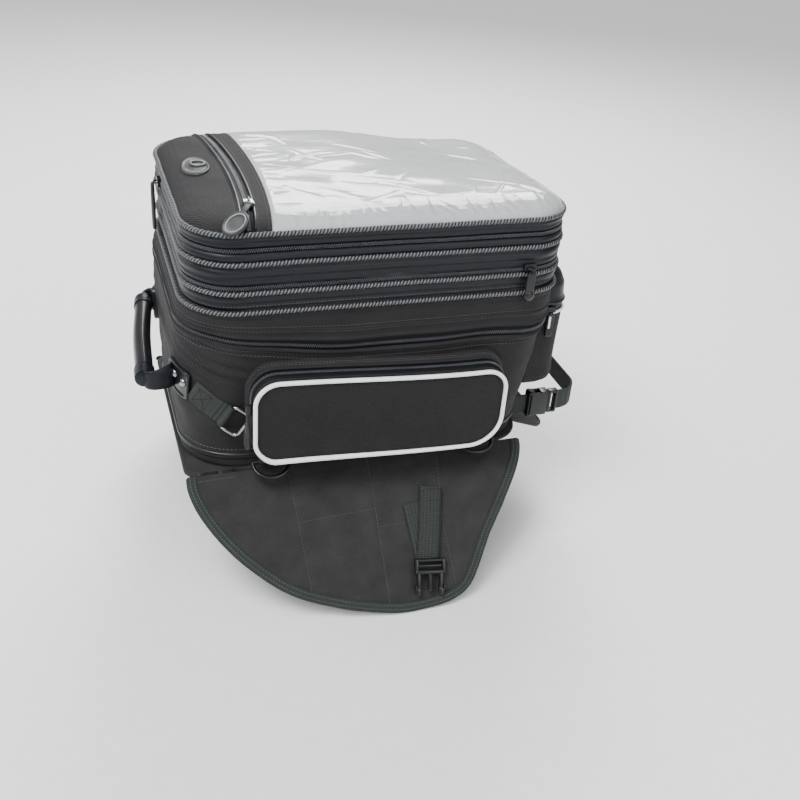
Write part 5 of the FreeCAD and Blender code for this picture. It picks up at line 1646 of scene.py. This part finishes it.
def flap_parts():
    out = {}
    n = len(fo)
    s = np.linspace(0, 1, n)
    share = (fo[:, 0] + 207.0) / 382.5
    tops = np.stack([-205.5 + 380.0 * share, np.full(n, 1.2)], 1)
    k = np.linspace(0, 1, 66)[:, None]
    X = tops[None, :, 0] * (1 - k) + fo[None, :, 0] * k
    T = tops[None, :, 1] * (1 - k) + fo[None, :, 1] * k
    h = flap_height(X, T)
    A, _ = flap3(X, T, h - 0.9)
    B, _ = flap3(X, T, h - 3.1)
    G = Geo()
    G.grid(A, X, T, flip=False)
    G.grid(B, X, T, flip=True)
    for i0, i1 in ((0, 1),):
        G.grid(np.stack([A[0], B[0]]), np.stack([X[0]] * 2), np.stack([T[0]] * 2), flip=True)
        G.grid(np.stack([A[-1], B[-1]]), np.stack([X[-1]] * 2), np.stack([T[-1]] * 2))
    out["cloth"] = G
    # binding folded over the edge
    Tn = unit(np.gradient(np.c_[fo, np.zeros(n)], axis=0))[:, :2]
    inward = np.stack([Tn[:, 1], -Tn[:, 0]], 1)
    c = np.array([-20.0, 70.0])
    inward = inward * np.sign(((c - fo) * inward).sum(1).mean())
    prof = [(10.4, -0.9), (10.2, 0.1), (9.4, 0.5), (5.0, 0.75), (1.5, 0.55), (0.2, 0.0), (-0.9, -0.9), (-1.0, -2.2), (-0.2, -3.4), (2.0, -3.9), (6.0, -3.9), (9.6, -3.7), (10.0, -3.0)]
    rows, U, W = [], [], []
    d = np.concatenate([[0], np.cumsum(np.linalg.norm(np.diff(fo, axis=0), axis=1))])
    for m, hh in prof:
        q = fo + inward * m
        hb = flap_height(q[:, 0], q[:, 1])
        rows.append(flap3(q[:, 0], q[:, 1], hb + hh)[0])
        U.append(d)
        W.append(np.full(n, m))
    G = Geo()
    G.grid(np.stack(rows), np.stack(U), np.stack(W), flip=True)
    out["binding"] = G
    G = Geo()
    for m in (3.0, 7.6):
        q = fo + inward * m
        P, N = flap3(q[:, 0], q[:, 1], flap_height(q[:, 0], q[:, 1]) + 0.72)
        beads(G, P, N, 3.4, 2.5, 0.75, 0.6)
    out["bstitch"] = G
    G = Geo()
    edge_t = lambda x: np.interp(x, fo[:, 0], fo[:, 1])
    for line in STL:
        L = smooth_line(np.c_[np.array(line, float), np.zeros(len(line))], 1.5, rounds=2)
        L = L[L[:, 1] < edge_t(L[:, 0]) - 11]
        for dx in ((0.0,) if line in STL[:5] else (0.0, 3.0)):
            P, N = flap3(L[:, 0] + dx, L[:, 1], flap_height(L[:, 0] + dx, L[:, 1]) - 0.75)
            beads(G, P, N, 3.6, 2.7, 0.7, 0.6)
    out["lines"] = G
    # V strap: back run and front run
    G = Geo()
    ta = np.linspace(0, 1, 30)

    def run(p0, p1, lift, w0=25.0):
        x = p0[0] + (p1[0] - p0[0]) * ta
        t = p0[1] + (p1[1] - p0[1]) * ta
        P, N = flap3(x, t, lift + 0 * ta)
        return P, N

    P, N = run((34.0, 62.0), (39.6, 122.0), 1.1)
    ribbon(G, P, N, 25.0, 1.8, 1.5)
    P, N = run((56.4, 47.0), (40.6, 124.5), 3.3)
    ribbon(G, P, N, 25.0, 1.9, 1.5)
    out["strap"] = G
    G = Geo()
    for x0, x1, t0, t1 in ((46.0, 67.2, 50.0, 50.0), (45.5, 66.6, 62.0, 62.0)):
        x = np.linspace(x0, x1, 12)
        P, N = flap3(x, np.linspace(t0, t1, 12), 4.3)
        beads(G, P, N, 2.6, 2.1, 0.7, 0.6)
    for sx in (-1, 1):
        t = np.linspace(50, 120, 50)
        x = 56.4 + (40.6 - 56.4) * (t - 47) / 77.5 + sx * 11.0
        P, N = flap3(x, t, 4.35)
        beads(G, P, N, 2.6, 2.0, 0.6, 0.5)
    out["sstitch"] = G
    # male half of the side-release buckle
    tc = 145.0
    y, z, a = np.interp(tc, FT, FY), np.interp(tc, FT, FZ), np.interp(tc, FT, fa)
    ez = np.array([0, -math.sin(a), math.cos(a)])
    ey = np.array([0, -math.cos(a), -math.sin(a)])
    ex = np.array([1.0, 0, 0])
    w = math.radians(6.0)
    ex2, ey2 = ex * math.cos(w) + ey * math.sin(w) * 1.0, ey * math.cos(w) - ex * math.sin(w)
    ex2 = np.cross(ey2, ez)
    R = np.stack([ex2, ey2, ez], 1)
    C = np.array([40.2, y, z]) + ez * 5.2

    def blk(sx, sy, sz, x, yy, zz, b=1.2, tp=None):
        rbox(G, (sx, sy, sz), C + R @ np.array([x, yy, zz]), R, b, 3, tp)

    G = Geo()
    blk(35.6, 3.6, 5.6, 0, -20.0, 0, 1.7)
    blk(35.6, 5.2, 6.6, 0, -7.2, 0, 2.2)
    blk(27.0, 3.0, 3.4, 0, -14.0, 0.8, 1.2)
    for sx in (-1, 1):
        blk(4.6, 16.5, 5.8, sx * 15.5, -13.6, 0, 1.6)
        blk(5.0, 22.0, 4.6, sx * 12.9, 3.2, 0, 1.7)
        blk(8.0, 9.0, 5.4, sx * 13.2, 14.0, 0, 2.4, lambda c, sx=sx: (c.x * (1.0 - 0.035 * (c.y + 4.5)), c.y, c.z))
        blk(2.4, 5.0, 6.2, sx * 16.4, 9.4, 0, 1.0)
    blk(5.4, 20.0, 4.0, 0, 4.0, 0, 1.5)
    blk(3.0, 16.0, 5.2, 0, 3.0, 0, 1.2)
    out["buckle"] = G
    return out


for side, fb, sb in (("right", "flap_r", "flap_strap_r"), ("left", "flap_l", "flap_strap_l")):
    q = flap_parts()
    if side == "left":
        q = {k: g.mirrored() for k, g in q.items()}
    f = q["cloth"].obj("flap_cloth_" + side, M_FLAP, fb, "flap_twill", ["flap_" + side, "flap_magnets_" + side], warp=False)
    bi = q["binding"].obj("flap_binding_" + side, M_BIND, fb, "webbing", warp=False)
    b2 = q["bstitch"].obj("flap_binding_stitches_" + side, M_THREADG, fb, "webbing", warp=False)
    li = q["lines"].obj("flap_stitches_" + side, M_THREAD, fb, "flap_twill", warp=False)
    q["strap"].obj("flap_strap_webbing_" + side, M_WEBD, sb, "webbing", ["flap_strap_" + side], warp=False)
    q["sstitch"].obj("flap_strap_stitches_" + side, M_THREADD, sb, "webbing", warp=False)
    q["buckle"].obj("flap_buckle_body_" + side, M_PLASTIC, sb, "plastic", ["flap_buckle_" + side], warp=False)

# ------------------------------------------------------------------ sliders kept from the frame, and new pullers
for nm, mat, sl in (("map_slider", M_STEEL, "slider"),
                    ("lid_slider", M_ENAMEL, "slider"), ("expansion_slider", M_ENAMEL, "slider")):
    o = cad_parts[nm]
    o.data.materials.clear()
    o.data.materials.append(mat)

# oval rubber tongue of the map zip
tilt, turn = math.radians(16.5), math.radians(34.0)
H = np.array([-133.5, -104.8, 296.9])
pl = np.array([-math.sin(turn), -math.cos(turn), 0])
ex = pl * math.cos(tilt) + np.array([0, 0, -math.sin(tilt)])
ez = pl * math.sin(tilt) + np.array([0, 0, math.cos(tilt)])
ey = np.cross(ez, ex)
G = Geo()
a = np.linspace(0, 2 * math.pi, 64, endpoint=False)
rows = []
for k, h in ((0.01, -1.5), (0.9, -1.5), (0.98, -1.0), (1.0, 0.0), (0.98, 1.2), (0.93, 1.9), (0.86, 1.8), (0.80, 1.2), (0.74, 0.9), (0.4, 1.0), (0.01, 1.1)):
    rows.append([H + ex * (35.0 + 18.0 * k * math.cos(t)) + ey * (11.8 * k * math.sin(t)) + ez * h for t in a])
G.grid(np.array(rows), closed=True)
rbox(G, (17.0, 7.0, 2.8), H + ex * 12.5, np.stack([ex, ey, ez], 1), 1.2)
rbox(G, (5.0, 10.0, 3.2), H + ex * 3.2, np.stack([ex, ey, ez], 1), 1.4)
G.obj("map_tongue", M_RUBBER, "map_zip_tongue", "rubber", ["map_puller"])
G = Geo()
L = np.array([H + ex * (35.0 + 14.0 * math.cos(t)) + ey * (8.4 * math.sin(t)) + ez * 1.15 for t in a])
tube(G, L, 0.75, 1.2, 8, True, ez)
G.obj("map_tongue_ring", M_RUBBERL, "map_zip_tongue", "rubber")

# loop of the lid zip
G = Geo()
lx = -208.8
pts = [(lx, 50.6, 259.0), (lx, 48.4, 250.0), (lx, 47.2, 236.0), (lx, 47.6, 220.0), (lx, 49.0, 211.5), (lx, 52.0, 208.6), (lx, 55.0, 211.5), (lx, 56.4, 220.0),
       (lx, 56.8, 236.0), (lx, 55.6, 250.0), (lx, 53.4, 259.0), (lx, 52.0, 261.0)]
L = smooth_line(pts, 1.2, True)
tube(G, L, 1.9, 1.0, 10, True, up=(1, 0, 0), twist=3.0, lobes=2, depth=0.16)
G.obj("lid_loop_pull", M_RUBBERG, "lid_zip_cord", "webbing", ["lid_puller"])

# strap tongue with a round end on the expansion zip
G = Geo()
rbox(G, (9.6, 2.4, 25.0), (152.0, -148.8, 209.5), None, 1.0)
dome_head(G, np.array([152.0, -148.4, 196.6]), np.array([0, -1.0, 0]), 6.4, 3.4, 28)
dome_head(G, np.array([152.0, -148.8, 196.6]), np.array([0, 1.0, 0]), 6.4, 1.4, 28)
G.obj("expansion_tongue", M_PLASTIC, "exp_zip_tongue", "plastic", ["expansion_puller"])

# ------------------------------------------------------------------ camera, light, floor
az, el, roll = math.radians(-20.32618692), math.radians(31.69782556), math.radians(4.96830354)
back = np.array([math.sin(az) * math.cos(el), -math.cos(az) * math.cos(el), math.sin(el)])
f = -back
r = unit(np.cross(f, [0, 0, 1.0]))
u = np.cross(r, f)
r, u = math.cos(roll) * r + math.sin(roll) * u, -math.sin(roll) * r + math.cos(roll) * u
cam = bpy.data.cameras.new("camera")
cam.lens, cam.sensor_width = 47.25, 36.0
cam.clip_start, cam.clip_end = 0.05, 50.0
co = bpy.data.objects.new("camera", cam)
bpy.context.scene.collection.objects.link(co)
co.matrix_world = Matrix(((r[0], u[0], back[0], -0.311996), (r[1], u[1], back[1], -1.042225), (r[2], u[2], back[2], 0.672188), (0, 0, 0, 1)))
bpy.context.scene.camera = co

lo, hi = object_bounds()
fz = float(lo.z) - 0.001
s = 40.0
me = bpy.data.meshes.new("floor")
me.from_pydata([(-s, -s, fz), (s, -s, fz), (s, s, fz), (-s, s, fz)], [], [(0, 1, 2, 3)])
floor = bpy.data.objects.new("floor", me)
me.materials.append(M_FLOOR)
bpy.context.scene.collection.objects.link(floor)
floor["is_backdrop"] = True


def area_light(name, at, look, size, power, size_y=None):
    L = bpy.data.lights.new(name, "AREA")
    L.shape = "RECTANGLE"
    L.size, L.size_y = size, size_y or size
    L.energy = power
    o = bpy.data.objects.new(name, L)
    bpy.context.scene.collection.objects.link(o)
    o.location = at
    d = Vector(look) - Vector(at)
    o.rotation_euler = d.to_track_quat("-Z", "Y").to_euler()
    return o


sun = bpy.data.lights.new("sun", "SUN")
sun.energy, sun.angle = 1.5, math.radians(28)
so = bpy.data.objects.new("sun", sun)
bpy.context.scene.collection.objects.link(so)
so.rotation_euler = Vector((0.42, 0.45, -0.9)).to_track_quat("-Z", "Y").to_euler()
area_light("key", (-1.0, -0.7, 1.9), (0, 0, 0.2), 0.8, 40.0)
area_light("top", (0.55, 1.5, 1.5), (0, 0, 0.25), 1.1, 60.0)
area_light("fill", (0.9, -1.9, 1.0), (0, -0.1, 0.1), 1.2, 24.0)
area_light("rim", (-1.6, 1.0, 0.9), (-0.1, 0, 0.15), 0.9, 18.0)
w = bpy.data.worlds.new("world")
bpy.context.scene.world = w
w.use_nodes = True
wt = w.node_tree
wn = Nodes(wt)
wc = wt.nodes.new("ShaderNodeTexCoord")
wx = wt.nodes.new("ShaderNodeSeparateXYZ")
wt.links.new(wc.outputs["Generated"], wx.inputs[0])
wt.links.new(wn.mix(wn.range(wx.outputs[2], 0.05, 0.75, 0.0, 1.0), (0.30, 0.31, 0.33), (0.95, 0.97, 1.0)), wt.nodes["Background"].inputs[0])
wt.nodes["Background"].inputs[1].default_value = 0.55

lo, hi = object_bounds()
